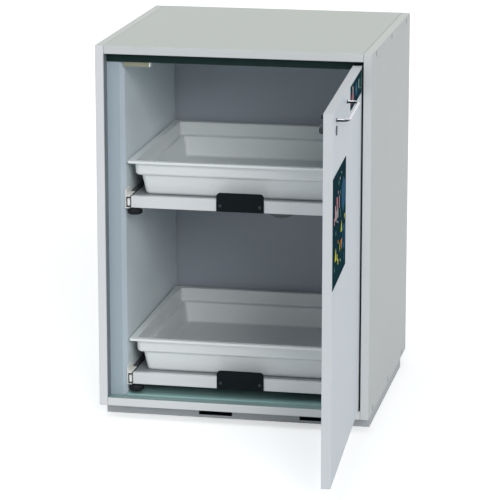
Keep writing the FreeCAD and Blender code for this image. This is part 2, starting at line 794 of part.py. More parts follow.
def make_grip(name, rail_low, rail):
    """The plate on the front rail that the drawer is pulled by, with its two screws."""
    x = frame_middle + s.grip_offset - s.grip_length / 2
    y = rail_front - s.grip_thickness
    top = rail_low + s.grip_height
    plate = block(f"{name}_grip", x, y, rail_low, s.grip_length, s.grip_thickness, s.grip_height)
    round_edges(plate, s.grip_top_round,
                lambda e: edge_at(e, z=top) and near(e.BoundBox.XLength, MIDDLE))
    round_edges(plate, s.grip_edge_round, lambda e: edge_at(e, y=y))
    hole = s.grip_screw_radius + s.screw_clearance
    head = (s.grip_screw_head_radius, s.grip_screw_head_height)
    shank = (s.grip_screw_radius, s.grip_screw_length)
    z = rail_low + s.rail_height / 2
    screws = []
    for at in (x + s.grip_screw_end_distance, x + s.grip_length - s.grip_screw_end_distance):
        add_round(plate, "Subtractive", at, y, z, hole, s.grip_thickness, ALONG_Y)
        add_round(rail, "Subtractive", at, rail_front, z, hole, s.sheet, ALONG_Y)
        head_start = y - s.grip_screw_head_height
        screws.append(headed_pin(f"{name}_grip_screw", at, head_start, z, head, shank, ALONG_Y))
    group(f"{name}_grip_screws", screws)


def make_discs(name, rail_low):
    """A round rubber buffer under each end of the front rail."""
    y = rail_front + s.rail_depth - s.disc_neck_radius
    disc_top = rail_low - s.disc_neck_height
    discs = []
    for x in (frame_left + s.disc_end_distance, frame_right - s.disc_end_distance):
        disc = new_body(f"{name}_disc")
        add_round(disc, "Additive", x, y, disc_top - s.disc_thickness, s.disc_radius, s.disc_thickness)
        round_edges(disc, s.disc_round, lambda e: near(e.BoundBox.ZLength, MIDDLE))
        add_round(disc, "Additive", x, y, disc_top - s.disc_round, s.disc_neck_radius,
                  s.disc_neck_height + s.disc_round)
        discs.append(disc)
    group(f"{name}_discs", discs)


def ring_sketch(body, z, inset, radius):
    """The outline of the tray at one height, drawn in from the rim by the inset."""
    low_x = wall_left + s.tray_wall_gap + inset
    high_x = wall_right - s.tray_wall_gap - inset
    low_y = rail_front + inset
    high_y = rail_front + s.tray_depth - inset
    sketch = sketch_on(body, "XY_Plane", z)
    draw_rounded_rectangle(sketch, low_x, high_x, low_y, high_y, radius)
    return sketch


def loft(body, kind, low, high):
    feature = body.newObject(f"PartDesign::{kind}Loft", f"{body.Name}_loft")
    feature.Profile = ring_sketch(body, *low)
    feature.Sections = [ring_sketch(body, *high)]
    feature.Ruled = True
    return feature


def make_tray(name, floor):
    """A plastic tray with drafted walls, a step part way up and a flat rim."""
    body = new_piece(f"{name}_tray")
    step_z, top = floor + s.tray_step_rise, floor + s.tray_height
    lip_low = top - s.tray_lip
    corner, wall = s.tray_corner_round, s.tray_wall
    upper_top = s.tray_rim_width
    upper_low = upper_top + s.tray_upper_draft
    lower_top = upper_low + s.tray_step_width
    lower_low = lower_top + s.tray_lower_draft
    loft(body, "Additive", (floor, lower_low, corner), (step_z, lower_top, corner))
    loft(body, "Additive", (step_z, upper_low, corner), (lip_low, upper_top, corner))
    pad(body, ring_sketch(body, lip_low, MIDDLE, s.tray_rim_round), s.tray_lip)
    round_edges(body, s.tray_foot_round, lambda e: edge_at(e, z=floor) or is_upper_foot(e, step_z))
    inner = corner - wall
    loft(body, "Subtractive", (step_z + wall, upper_low + wall, inner), (top, upper_top + wall, inner))
    loft(body, "Subtractive", (floor + wall, lower_low + wall, inner),
         (step_z + wall, lower_top + wall, inner))
    round_edges(body, s.tray_lip_round, lambda e: edge_at(e, z=top))


def is_upper_foot(edge, step_z):
    """True for an outer lower edge of a tray's upper part, which reaches out past the lower part."""
    start, end = edge.ParameterRange
    middle = edge.valueAt((start + end) / 2)
    inset = s.tray_rim_width + s.tray_upper_draft + s.tray_step_width
    low_x, high_x = wall_left + s.tray_wall_gap + inset, wall_right - s.tray_wall_gap - inset
    low_y, high_y = rail_front + inset, rail_front + s.tray_depth - inset
    inside_x = low_x.number - TOUCH < middle.x < high_x.number + TOUCH
    inside_y = low_y.number - TOUCH < middle.y < high_y.number + TOUCH
    return edge_at(edge, z=step_z) and not (inside_x and inside_y)


def make_drawers():
    """Two like drawers, one above the other."""
    for name, rail_low in (
        ("upper", s.upper_rail_rise),
        ("lower", s.upper_rail_rise - s.drawer_spacing),
    ):
        make_runners(name, rail_low)
        rail = make_frame(name, rail_low)
        make_grip(name, rail_low, rail)
        make_discs(name, rail_low)
        make_tray(name, rail_low + s.rail_height - s.sheet)


def write_parts():
    """Checks every object and sub-part, and then writes one file for each sub-part."""
    doc.recompute()
    for thing in doc.Objects:
        bad = [state for state in thing.State if state in ("Invalid", "Error")]
        assert not bad, f"{thing.Name}: {thing.State}"
    for piece in pieces:
        assert not piece.Shape.isNull() and piece.Shape.isValid(), piece.Label
        assert piece.Shape.Volume > 0 and piece.Shape.Solids, piece.Label
    os.makedirs("parts", exist_ok=True)
    for piece in pieces:
        piece.Shape.exportStep(os.path.join("parts", f"{piece.Label}.step"))
        box = piece.Shape.BoundBox
        print(f"{piece.Label:28s} {len(piece.Shape.Solids):3d} solids  {piece.Shape.Volume:12.1f} mm3  "
              f"x {box.XMin:7.1f} {box.XMax:7.1f}  y {box.YMin:7.1f} {box.YMax:7.1f}  "
              f"z {box.ZMin:6.1f} {box.ZMax:6.1f}")
    print(len(pieces), "sub-parts")


make_carcass()
make_plinth()
make_lining()
make_back_and_exhaust()
make_pivots()
make_door()
make_strike()
make_drawers()
write_parts()
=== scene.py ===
import json
import math

import bpy
from mathutils import Matrix, Vector


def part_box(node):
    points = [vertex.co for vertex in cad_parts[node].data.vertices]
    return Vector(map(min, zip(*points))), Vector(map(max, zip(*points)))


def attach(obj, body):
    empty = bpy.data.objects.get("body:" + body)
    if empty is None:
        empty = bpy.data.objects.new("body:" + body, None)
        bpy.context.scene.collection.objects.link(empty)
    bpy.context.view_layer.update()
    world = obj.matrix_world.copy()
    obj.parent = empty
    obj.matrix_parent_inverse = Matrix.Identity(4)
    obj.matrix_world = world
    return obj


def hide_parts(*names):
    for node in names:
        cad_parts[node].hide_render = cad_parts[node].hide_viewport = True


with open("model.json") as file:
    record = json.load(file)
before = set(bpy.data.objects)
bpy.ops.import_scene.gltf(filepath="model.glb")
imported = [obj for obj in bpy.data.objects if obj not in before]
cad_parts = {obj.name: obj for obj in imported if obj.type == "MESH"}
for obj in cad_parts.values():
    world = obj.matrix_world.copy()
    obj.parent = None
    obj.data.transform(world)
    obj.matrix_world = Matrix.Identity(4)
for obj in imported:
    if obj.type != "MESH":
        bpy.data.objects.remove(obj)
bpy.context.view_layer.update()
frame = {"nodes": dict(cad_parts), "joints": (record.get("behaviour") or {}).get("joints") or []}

# Reagent drawer cabinet: finishes, boards, trays, handle, lock, rubber discs, screws and door plates.
# Everything is in metres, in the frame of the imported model: X right, Y to the rear, Z up.

MM = 0.001
NODES = frame["nodes"]
QUARTER_TURN = math.pi / 2
DRAWERS = ("upper", "lower")


# Measures taken from the frame

def joint(name):
    return next(j for j in frame["joints"] if j["name"] == name)


HINGE = Vector(joint("door_hinge")["pos_m"])
OPEN_TURN = math.radians(-joint("door_hinge")["range_deg"][0])
OPEN_DOOR = Matrix.Translation(HINGE) @ Matrix.Rotation(OPEN_TURN, 4, "Z") @ Matrix.Translation(-HINGE)
SHUT_DOOR = OPEN_DOOR.inverted()


def shut_box(node):
    """Lowest and highest corner of a door piece, as it stands with the door shut."""
    places = [SHUT_DOOR @ v.co for v in NODES[node].data.vertices]
    low = Vector(min(p[i] for p in places) for i in range(3))
    high = Vector(max(p[i] for p in places) for i in range(3))
    return low, high


# Finishes

def screen(red, green, blue):
    """A colour given as it looks on screen, from 0 to 255, turned into linear light."""
    def linear(value):
        share = value / 255
        return share / 12.92 if share <= 0.04045 else ((share + 0.055) / 1.055) ** 2.4
    return (linear(red), linear(green), linear(blue), 1.0)


# The boards are one melamine. The front edge bands are lit and shaded copies of one banding, as
# painted light: paler on the left panel and base board, darker on the right panel and top board. The
# door board is a paler lit copy.
BOARD = screen(203, 207, 206)
SIDE_BOARD = screen(195, 198, 197)
TOP_BOARD = screen(195, 200, 195)
SIDE_TOP = screen(206, 209, 205)
LIT_LEFT_BAND = screen(213, 214, 217)
SHADED_RIGHT_BAND = screen(201, 203, 204)
SHADED_TOP_BAND = screen(197, 200, 201)
LIT_BASE_BAND = screen(210, 213, 214)
LIT_DOOR_BOARD = screen(213, 220, 226)
DOOR_BAND = screen(199, 203, 207)
# One lining board in several tones: the side lining is made pale as painted bounce light, the back and
# floor lining darker as painted shade.
LINING = screen(223, 233, 236)
LINING_EDGE = screen(156, 171, 180)
# A painted highlight on the bevel behind the lining's front edge.
LINING_BEVEL_HIGHLIGHT = screen(178, 190, 199)
SHADED_BACK_LINING = screen(160, 167, 177)
SHADED_FLOOR_LINING = screen(138, 160, 160)
SHADED_INNER_FLOOR = screen(148, 184, 182)
# The dark seal colour; by the hinges it also paints the shade of the gap beside the door.
SEAL = screen(20, 41, 39)
TRAY = screen(224, 229, 229)
STEEL_COAT = screen(211, 214, 216)
RUNNER_COAT = screen(236, 237, 232)
# Painted shade for the runners behind their front plates.
RUNNER_PAINTED_SHADE = screen(70, 74, 77)
# The pan is painted mid grey, as the shade beneath the trays.
SHADED_PAN = screen(148, 152, 155)
BLACK_PLASTIC = screen(22, 28, 31)
NYLON = screen(226, 228, 224)
RUBBER = screen(24, 27, 31)
ZINC = screen(168, 171, 172)
CHROME = screen(206, 209, 213)
# A painted dark reflection for the chrome's lower and front faces.
DARK_REFLECTION = screen(40, 43, 48)
DUCT = screen(120, 126, 130)
STRIKE = screen(134, 136, 116)
DARK_SCREW = screen(58, 62, 66)
LOCK_FACE = screen(74, 77, 82)
CAP = screen(146, 151, 155)
# A grey seal strip whose dark tone is partly painted shade of the recess before the lining.
SIDE_SEAL_AND_SHADE = screen(119, 127, 133)
# The plinth is the board's melamine, painted darker as the shade under the overhang.
SHADED_PLINTH = screen(175, 179, 183)
BACK_BOARD = screen(176, 180, 179)
BEAD = screen(176, 185, 188)
PLATE_GROUND = screen(32, 60, 68)
INKS = {
    "blue": screen(30, 84, 118), "pink": screen(232, 176, 182), "white": screen(232, 234, 232),
    "red": screen(164, 50, 74), "yellow": screen(214, 212, 64), "orange": screen(222, 142, 52),
    "green": screen(76, 132, 112),
}

# How deep the bluish edge band of the lining and the white front plates of the runners reach. Behind
# the plates the runners are painted dark, as the shade under the trays.
LINING_BAND = 10.5 * MM
RUNNER_PLATE = 48.0 * MM
RUNNER_FADE = 4.0 * MM
# How wide the dark seam at the end of a board is, as a multiple of its edge strip's thickness.
SEAM_SHARE = 2.4


class Shader:
    """Builds a tree of shader nodes with short calls."""

    def __init__(self, tree):
        self.tree = tree

    def add(self, kind, **values):
        node = self.tree.nodes.new(kind)
        for name, value in values.items():
            setattr(node, name, value)
        return node

    def link(self, source, target):
        self.tree.links.new(source, target)

    def feed(self, target, value):
        """Links an output to an input, or sets the input to a plain value."""
        if isinstance(value, bpy.types.NodeSocket):
            self.link(value, target)
        else:
            target.default_value = value

    def fill(self, node, values):
        """Feeds a node's inputs by name or number, and gives its outputs."""
        for name, value in values.items():
            self.feed(node.inputs[name], value)
        return node.outputs

    def math(self, operation, *values, clamp=False):
        node = self.add("ShaderNodeMath", operation=operation, use_clamp=clamp)
        return self.fill(node, dict(enumerate(values)))[0]

    def vector(self, operation, *values):
        node = self.add("ShaderNodeVectorMath", operation=operation)
        return self.fill(node, dict(enumerate(values)))[0]

    def scale(self, colour, factor):
        """A colour, made lighter or darker by a factor."""
        node = self.add("ShaderNodeVectorMath", operation="SCALE")
        return self.fill(node, {0: colour, "Scale": factor})[0]

    def split(self, vector):
        return self.fill(self.add("ShaderNodeSeparateXYZ"), {0: vector})

    def ramp(self, value, low, high, start=0.0, end=1.0):
        node = self.add("ShaderNodeMapRange", interpolation_type="SMOOTHSTEP")
        return self.fill(node, {"Value": value, "From Min": low, "From Max": high,
                                "To Min": start, "To Max": end})[0]

    def blend(self, share, first, second):
        node = self.add("ShaderNodeMix", data_type="RGBA")
        return self.fill(node, {0: share, 6: first, 7: second})[2]

    def noise(self, vector, scale, detail=2.0, roughness=0.5):
        node = self.add("ShaderNodeTexNoise")
        return self.fill(node, {"Vector": vector, "Scale": scale, "Detail": detail,
                                "Roughness": roughness})["Fac"]

    def place(self):
        return self.add("ShaderNodeTexCoord").outputs["Object"]

    def bump(self, height, distance):
        node = self.add("ShaderNodeBump")
        return self.fill(node, {"Height": height, "Strength": 1.0, "Distance": distance})[0]


def new_group(name, inputs, outputs):
    """An empty node group with named sockets, and a builder for its inside."""
    tree = bpy.data.node_groups.new(name, "ShaderNodeTree")
    for label, kind, value in inputs:
        socket = tree.interface.new_socket(label, in_out="INPUT", socket_type=f"NodeSocket{kind}")
        if value is not None:
            socket.default_value = value
    for label, kind in outputs:
        tree.interface.new_socket(label, in_out="OUTPUT", socket_type=f"NodeSocket{kind}")
    build = Shader(tree)
    entry, leave = build.add("NodeGroupInput"), build.add("NodeGroupOutput")
    return tree, build, entry.outputs, leave.inputs


def skin_group():
    """The fine relief and the faint patches of colour that a coated or moulded surface has."""
    tree, build, given, result = new_group(
        "surface_skin",
        [("Colour", "Color", None), ("Patch share", "Float", 0.04), ("Grain size", "Float", 0.001),
         ("Speck share", "Float", 0.02)],
        [("Colour", "Color"), ("Grain", "Float"), ("Cloud", "Float")],
    )
    place = build.place()
    cloud = build.noise(place, 7.0, 3.0)
    fine_scale = build.math("DIVIDE", 1.0, given["Grain size"])
    grain = build.noise(place, fine_scale, 2.0, 0.6)
    speck = build.noise(place, 1400.0, 1.0)
    lift = build.math("MULTIPLY", build.math("SUBTRACT", cloud, 0.5), given["Patch share"])
    dots = build.math("MULTIPLY", build.math("SUBTRACT", speck, 0.5), given["Speck share"])
    factor = build.math("ADD", build.math("ADD", lift, dots), 1.0)
    build.link(build.scale(given["Colour"], factor), result["Colour"])
    build.link(grain, result["Grain"])
    build.link(cloud, result["Cloud"])
    return tree


def board_group():
    """For a board between two corners: the glue line of its edge strip, and its rounded rim."""
    tree, build, given, result = new_group(
        "board_edges",
        [("Place", "Vector", None), ("Low corner", "Vector", None), ("High corner", "Vector", None),
         ("Strip thickness", "Float", 0.001), ("Line width", "Float", 0.0004)],
        [("Glue line", "Float"), ("Rim", "Float"), ("End joint", "Float"), ("Top skin", "Float"),
         ("Front band", "Float"), ("Side band", "Float")],
    )
    from_low = build.vector("SUBTRACT", given["Place"], given["Low corner"])
    from_high = build.vector("SUBTRACT", given["High corner"], given["Place"])
    nearest = build.split(build.vector("MINIMUM", from_low, from_high))
    x, y, z = nearest["X"], nearest["Y"], nearest["Z"]
    # The middle one of the three distances is the distance to the nearest edge.
    larger_pair = build.math("MINIMUM", build.math("MAXIMUM", x, y), build.math("MAXIMUM", y, z))
    edge = build.math("MINIMUM", larger_pair, build.math("MAXIMUM", x, z))
    offset = build.math("ABSOLUTE", build.math("SUBTRACT", edge, given["Strip thickness"]))
    strip, line = given["Strip thickness"], given["Line width"]
    # Each mark is full on its own place and fades out over a width.
    marks = {
        "Glue line": (offset, line), "Rim": (edge, strip),
        "End joint": (x, build.math("MULTIPLY", strip, SEAM_SHARE)),
        "Top skin": (build.split(from_high)["Z"], strip),
        "Front band": (build.split(from_low)["Y"], line),
        "Side band": (build.math("MINIMUM", x, z), line),
    }
    for mark, (distance, width) in marks.items():
        build.link(build.ramp(distance, 0.0, width, 1.0, 0.0), result[mark])
    return tree


def marks_group():
    """Faint smears from handling, as a share that changes over the surface."""
    tree, build, given, result = new_group(
        "handling_marks", [("Amount", "Float", 0.5)], [("Marks", "Float")],
    )
    place = build.place()
    stretched = build.vector("MULTIPLY", place, (30.0, 30.0, 9.0))
    streaks = build.noise(stretched, 1.0, 4.0, 0.65)
    spots = build.noise(place, 22.0, 3.0, 0.6)
    both = build.math("MULTIPLY", build.ramp(streaks, 0.48, 0.72), build.ramp(spots, 0.45, 0.7))
    build.link(build.math("MULTIPLY", both, given["Amount"]), result["Marks"])
    return tree


SKIN = skin_group()
BOARD_EDGES = board_group()
HANDLING = marks_group()


def use_group(build, tree, **values):
    node = build.add("ShaderNodeGroup", node_tree=tree)
    return build.fill(node, {name.replace("_", " ").capitalize(): value
                             for name, value in values.items()})


def empty_tree(owner):
    """A builder for the emptied tree of a material or a world."""
    owner.use_nodes = True
    owner.node_tree.nodes.clear()
    return Shader(owner.node_tree)


def new_material(name):
    """A material with its builder and the sockets of its Principled shader."""
    material = bpy.data.materials.new(name)
    build = empty_tree(material)
    shader = build.add("ShaderNodeBsdfPrincipled")
    end = build.add("ShaderNodeOutputMaterial")
    build.link(shader.outputs[0], end.inputs["Surface"])
    return material, build, shader.inputs


# Glue line: its share, how dark the board is under it, and its depth against the grain.
GLUE_LINE, GLUE_SHADE, GLUE_DEPTH = 0.2, 0.62, 2.0
# The paler rounded rim of a board (partly edge wear, partly a painted highlight), its gloss, and how
# much glossier a smear on it is.
RIM_SHARE, RIM_WEAR_AND_HIGHLIGHT = 0.25, 1.06
BOARD_GLOSS = (0.5, 0.54)
BOARD_SMEAR_GLOSS = 0.05
# How dark the meeting line of the top and base boards with the side panels is.
END_JOINT = 0.9
# The tones that a metal's clouds run between, and the span of upward facing over which its painted
# dark reflection on the lower and front faces fades.
METAL_TONES = (0.92, 1.04)
UNDERSIDE_FADE = (-0.75, 0.15)
# The span of the cloud pattern over which the gloss changes, how far it changes, how much
# glossier a smear is, and how strong the finest specks are.
CLOUD_LOW, CLOUD_HIGH = 0.3, 0.7
GLOSS_SPREAD = 0.08
SMEAR_GLOSS = 0.12
SPECKS = 0.02


def give_skin(build, sockets, colour, roughness, grain_size, relief, patches, specks=SPECKS,
              marks=0.0, spread=GLOSS_SPREAD):
    """Links the shared skin to a shader: its colour, its uneven gloss and its fine relief."""
    skin = use_group(build, SKIN, colour=colour, patch_share=patches, grain_size=grain_size,
                     speck_share=specks)
    build.link(skin["Colour"], sockets["Base Color"])
    rough = build.ramp(skin["Cloud"], CLOUD_LOW, CLOUD_HIGH, roughness - spread, roughness + spread)
    if marks:
        smear = use_group(build, HANDLING, amount=marks)["Marks"]
        rough = build.math("SUBTRACT", rough, build.math("MULTIPLY", smear, SMEAR_GLOSS))
    build.link(rough, sockets["Roughness"])
    build.link(build.bump(skin["Grain"], relief), sockets["Normal"])


def coated(name, colour, roughness, grain_size=1.2 * MM, relief=0.02 * MM, patches=0.05,
           marks=0.3, shine=0.5):
    """A smooth coated or moulded surface with fine relief, faint patches and handling marks."""
    material, build, sockets = new_material(name)
    sockets["Specular IOR Level"].default_value = shine
    give_skin(build, sockets, colour, roughness, grain_size, relief, patches, marks=marks)
    return material


def board_material(name, colour, band_colour, low, high, swung=False, joint=0.0, top_colour=None,
                   lined_to=None):
    """Melamine board with a glued edge strip: a fine dark line one strip in from each edge.

    The edge band has a tone of its own: at the front of a fixed board, all round a swung one.
    The corners of a swung board are those of the shut door, so its pattern is turned back to them.
    A joint is how dark the meeting line with the side panels is. A board's top may have a skin of
    its own colour, all over or only as far back as it is lined.
    """
    material, build, sockets = new_material(name)
    place = build.place()
    if swung:
        turned = build.add("ShaderNodeMapping")
        build.link(place, turned.inputs["Vector"])
        turned.inputs["Rotation"].default_value = SHUT_DOOR.to_euler()
        turned.inputs["Location"].default_value = SHUT_DOOR.to_translation()
        place = turned.outputs[0]
    edges = use_group(build, BOARD_EDGES, place=place, low_corner=low, high_corner=high)
    if top_colour:
        share = edges["Top skin"]
        if lined_to:
            depth = build.split(place)["Y"]
            share = build.math("MULTIPLY", share, build.ramp(depth, lined_to, lined_to + MM, 1.0, 0.0))
        colour = build.blend(share, colour, top_colour)
    colour = build.blend(edges["Side band" if swung else "Front band"], colour, band_colour)
    skin = use_group(build, SKIN, colour=colour, patch_share=0.035, grain_size=0.9 * MM,
                     speck_share=0.03)
    smear = use_group(build, HANDLING, amount=0.4)["Marks"]
    sockets["Specular IOR Level"].default_value = 0.35
    line = build.math("MULTIPLY", edges["Glue line"], GLUE_LINE)
    line = build.math("MAXIMUM", line, build.math("MULTIPLY", edges["End joint"], joint))
    dark, pale = build.scale(skin["Colour"], GLUE_SHADE), build.scale(skin["Colour"], RIM_WEAR_AND_HIGHLIGHT)
    tone = build.blend(line, skin["Colour"], dark)
    # The rim is made paler: partly edge wear, partly a painted highlight.
    tone = build.blend(build.math("MULTIPLY", edges["Rim"], RIM_SHARE), tone, pale)
    build.link(tone, sockets["Base Color"])
    rough = build.ramp(skin["Cloud"], CLOUD_LOW, CLOUD_HIGH, *BOARD_GLOSS)
    rough = build.math("SUBTRACT", rough, build.math("MULTIPLY", smear, BOARD_SMEAR_GLOSS))
    build.link(rough, sockets["Roughness"])
    groove = build.math("MULTIPLY", edges["Glue line"], GLUE_DEPTH)
    groove = build.math("SUBTRACT", skin["Grain"], groove)
    build.link(build.bump(groove, 0.03 * MM), sockets["Normal"])
    return material


def lining_material():
    """Pale lining board whose front edge has a bluish edge band with a painted highlight on its bevel;
    by the hinges the band is painted dark, as the shade of the gap.
    """
    material, build, sockets = new_material("lining_board")
    front, hinge_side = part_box("liner_left")[0].y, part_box("liner_right")[0].x
    place = build.split(build.place())
    depth = place["Y"]
    band = build.ramp(depth, front + LINING_BAND - 0.5 * MM, front + LINING_BAND, 1.0, 0.0)
    # The bevel behind the front edge is painted paler, as a painted highlight.
    bevel = build.ramp(depth, front + 0.2 * MM, front + 1.2 * MM)
    edge = build.blend(bevel, LINING_EDGE, LINING_BEVEL_HIGHLIGHT)
    # By the hinges the front band is painted in the dark seal colour, as the shade of the gap beside
    # the door.
    edge = build.blend(build.ramp(place["X"], hinge_side, hinge_side + MM), edge, SEAL)
    give_skin(build, sockets, build.blend(band, LINING, edge), 0.43, 2.2 * MM, 0.03 * MM, 0.06,
              specks=0.03, marks=0.5, spread=0.07)
    return material


def runner_material():
    """The fixed runners: their front plates are coated white, and the channels behind are painted dark
    as shade.
    """
    material, build, sockets = new_material("outer_runner")
    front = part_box("upper_outer_runner_left")[0].y
    depth = build.split(build.place())["Y"]
    deep = build.ramp(depth, front + RUNNER_PLATE - RUNNER_FADE, front + RUNNER_PLATE + RUNNER_FADE)
    give_skin(build, sockets, build.blend(deep, RUNNER_COAT, RUNNER_PAINTED_SHADE), 0.42, 1.4 * MM,
              0.04 * MM, 0.05, spread=0.06)
    return material


def metal_material(name, colour, roughness, painted_reflection=None):
    """Plated or bright metal with faint clouds.

    A painted reflection colour darkens the lower and front faces, standing in for a dark room mirrored
    there, so that a bright bar reads as round.
    """
    material, build, sockets = new_material(name)
    place = build.place()
    cloud = build.noise(place, 40.0, 3.0)
    if painted_reflection:
        facing = build.split(build.add("ShaderNodeTexCoord").outputs["Normal"])
        upward = build.math("ADD", facing["Z"], facing["Y"])
        colour = build.blend(build.ramp(upward, *UNDERSIDE_FADE), painted_reflection, colour)
    else:
        colour = colour[:3]
    tone = build.scale(colour, build.ramp(cloud, 0.25, 0.75, *METAL_TONES))
    build.link(tone, sockets["Base Color"])
    sockets["Metallic"].default_value = 1.0
    rough = build.ramp(cloud, CLOUD_LOW, CLOUD_HIGH, roughness * 0.7, roughness * 1.3)
    build.link(rough, sockets["Roughness"])
    return material


def paint(node, material):
    """Gives a node of the frame its finish."""
    slots = NODES[node].data.materials
    slots.clear()
    slots.append(material)
    for polygon in NODES[node].data.polygons:
        polygon.material_index = 0


# Camera, floor and light

CAMERA_PLACE = Vector((1.1072, -5.7134, 1.7471))
CAMERA_PITCH = 0.2402
CAMERA_YAW = 0.1945
CAMERA_LENS = 193.69
FILM_WIDTH = 36
FLOOR_SIZE = 40.0
FLOOR_COLOUR = (0.8, 0.81, 0.82, 1)
FLOOR_LIFT = 0.46
SKY_COLOUR = (0.94, 0.97, 1.0, 1)
SKY_STRENGTH = 0.42
LAMP_DISTANCE = 3.0
# Name, turn to the right of straight ahead, height, strength, spread and colour.
LAMPS = [
    ("key_light", 27, 24, 1.32, 24, (1.0, 0.99, 0.98)),
    ("top_light", -20, 70, 0.66, 40, (0.99, 1.0, 0.99)),
    ("rear_light", 236, 12, 0.5, 40, (0.98, 0.99, 1.0)),
    ("fill_light", 8, 10, 0.2, 30, (0.97, 0.99, 1.0)),
]


def make_camera():
    data = bpy.data.cameras.new("camera")
    data.sensor_width = FILM_WIDTH
    data.lens = CAMERA_LENS
    camera = bpy.data.objects.new("camera", data)
    bpy.context.scene.collection.objects.link(camera)
    camera.location = CAMERA_PLACE
    camera.rotation_euler = (QUARTER_TURN - CAMERA_PITCH, 0, CAMERA_YAW)
    bpy.context.scene.camera = camera


def make_floor():
    """A plain white floor. Only the camera sees the little lift that brings it to full white."""
    bpy.ops.object.select_all(action="DESELECT")
    bpy.ops.mesh.primitive_plane_add(size=FLOOR_SIZE)
    floor = bpy.context.active_object
    floor.name = "floor"
    material = bpy.data.materials.new("white_floor")
    build = empty_tree(material)
    matt = build.add("ShaderNodeBsdfDiffuse")
    matt.inputs["Color"].default_value = FLOOR_COLOUR
    glow = build.add("ShaderNodeEmission")
    rays = build.add("ShaderNodeLightPath").outputs
    seen = build.math("ADD", rays["Is Camera Ray"], rays["Is Glossy Ray"], clamp=True)
    build.link(build.math("MULTIPLY", seen, FLOOR_LIFT), glow.inputs["Strength"])
    both = build.add("ShaderNodeAddShader")
    build.link(matt.outputs[0], both.inputs[0])
    build.link(glow.outputs[0], both.inputs[1])
    build.link(both.outputs[0], build.add("ShaderNodeOutputMaterial").inputs["Surface"])
    floor.data.materials.append(material)


def make_world():
    """Soft light from all round. The camera and reflections see plain white."""
    world = bpy.data.worlds.new("studio")
    bpy.context.scene.world = world
    build = empty_tree(world)
    soft, white = build.add("ShaderNodeBackground"), build.add("ShaderNodeBackground")
    soft.inputs["Color"].default_value = SKY_COLOUR
    soft.inputs["Strength"].default_value = SKY_STRENGTH
    white.inputs["Color"].default_value = (1, 1, 1, 1)
    rays = build.add("ShaderNodeLightPath").outputs
    seen = build.math("ADD", rays["Is Camera Ray"], rays["Is Glossy Ray"])
    seen = build.math("ADD", seen, rays["Is Transmission Ray"], clamp=True)
    mix = build.add("ShaderNodeMixShader")
    build.link(seen, mix.inputs[0])
    build.link(soft.outputs[0], mix.inputs[1])
    build.link(white.outputs[0], mix.inputs[2])
    build.link(mix.outputs[0], build.add("ShaderNodeOutputWorld").inputs["Surface"])


def add_lamp(name, turn, height, strength, spread, colour):
    """A broad distant lamp. Its turn, height and spread are in degrees."""
    data = bpy.data.lights.new(name, "SUN")
    data.energy = strength
    data.angle = math.radians(spread)
    data.color = colour
    lamp = bpy.data.objects.new(name, data)
    bpy.context.scene.collection.objects.link(lamp)
    turn, height = math.radians(turn), math.radians(height)
    away = Vector((math.sin(turn) * math.cos(height), -math.cos(turn) * math.cos(height),
                   math.sin(height)))
    lamp.location = LAMP_DISTANCE * away
    lamp.rotation_euler = away.to_track_quat("Z", "Y").to_euler()


# Modelling helpers

# Points closer than this are one point.
MERGE_REACH = 0.001 * MM


def start_piece():
    """Leaves edit mode and deselects everything, so that an operator acts only on the new piece."""
    if bpy.context.object and bpy.context.object.mode != "OBJECT":
        bpy.ops.object.mode_set(mode="OBJECT")
    bpy.ops.object.select_all(action="DESELECT")


def select_only(obj):
    start_piece()
    obj.select_set(True)
    bpy.context.view_layer.objects.active = obj


def edit_all(kind=None):
    """Enters edit mode with everything selected."""
    bpy.ops.object.mode_set(mode="EDIT")
    if kind:
        bpy.ops.mesh.select_mode(type=kind)
    bpy.ops.mesh.select_all(action="SELECT")


def draw_out(x, y, z):
    """Draws the selected face out to a new place, with walls behind it."""
    bpy.ops.mesh.extrude_region_move(TRANSFORM_OT_translate={"value": (x, y, z)})


def draw_edges(x, y, z):
    """Draws the selected edges out into walls."""
    bpy.ops.mesh.extrude_edges_move(TRANSFORM_OT_translate={"value": (x, y, z)})


def pick(kind, test):
    """In edit mode, selects only the vertices, edges or faces that a test chooses."""
    obj = bpy.context.active_object
    bpy.ops.mesh.select_mode(type=kind)
    bpy.ops.mesh.select_all(action="DESELECT")
    bpy.ops.object.mode_set(mode="OBJECT")
    mesh = obj.data
    if kind == "VERT":
        for vertex in mesh.vertices:
            vertex.select = test(vertex.co)
    elif kind == "EDGE":
        for edge in mesh.edges:
            first, last = (mesh.vertices[i].co for i in edge.vertices)
            edge.select = test(first, last)
    else:
        for face in mesh.polygons:
            face.select = test(face.center, face.normal)
    bpy.ops.object.mode_set(mode="EDIT")


def close_to(first, second, room=1e-5):
    return abs(first - second) < room


def apply_modifiers(obj):
    bpy.context.view_layer.objects.active = obj
    for modifier in list(obj.modifiers):
        bpy.ops.object.modifier_apply(modifier=modifier.name)


def soften(obj, width, segments=2, angle=35):
    """Rounds the sharp edges of a finished mesh and smooths what is not sharp.

    The normals follow the larger faces, so that flat faces stay flat up to their rounded edges.
    """
    if width:
        bevel = obj.modifiers.new("soft_edges", "BEVEL")
        bevel.width = width
        bevel.segments = segments
        bevel.limit_method = "ANGLE"
        bevel.angle_limit = math.radians(angle)
        bevel.use_clamp_overlap = True
        apply_modifiers(obj)
    select_only(obj)
    bpy.ops.object.shade_smooth_by_angle(angle=math.radians(angle))
    weighted = obj.modifiers.new("flat_faces", "WEIGHTED_NORMAL")
    weighted.keep_sharp = True
    weighted.weight = 50
    apply_modifiers(obj)


def settle(obj):
    """Moves the place, turn and size of an object into its mesh."""
    select_only(obj)
    bpy.ops.object.transform_apply(location=True, rotation=True, scale=True)


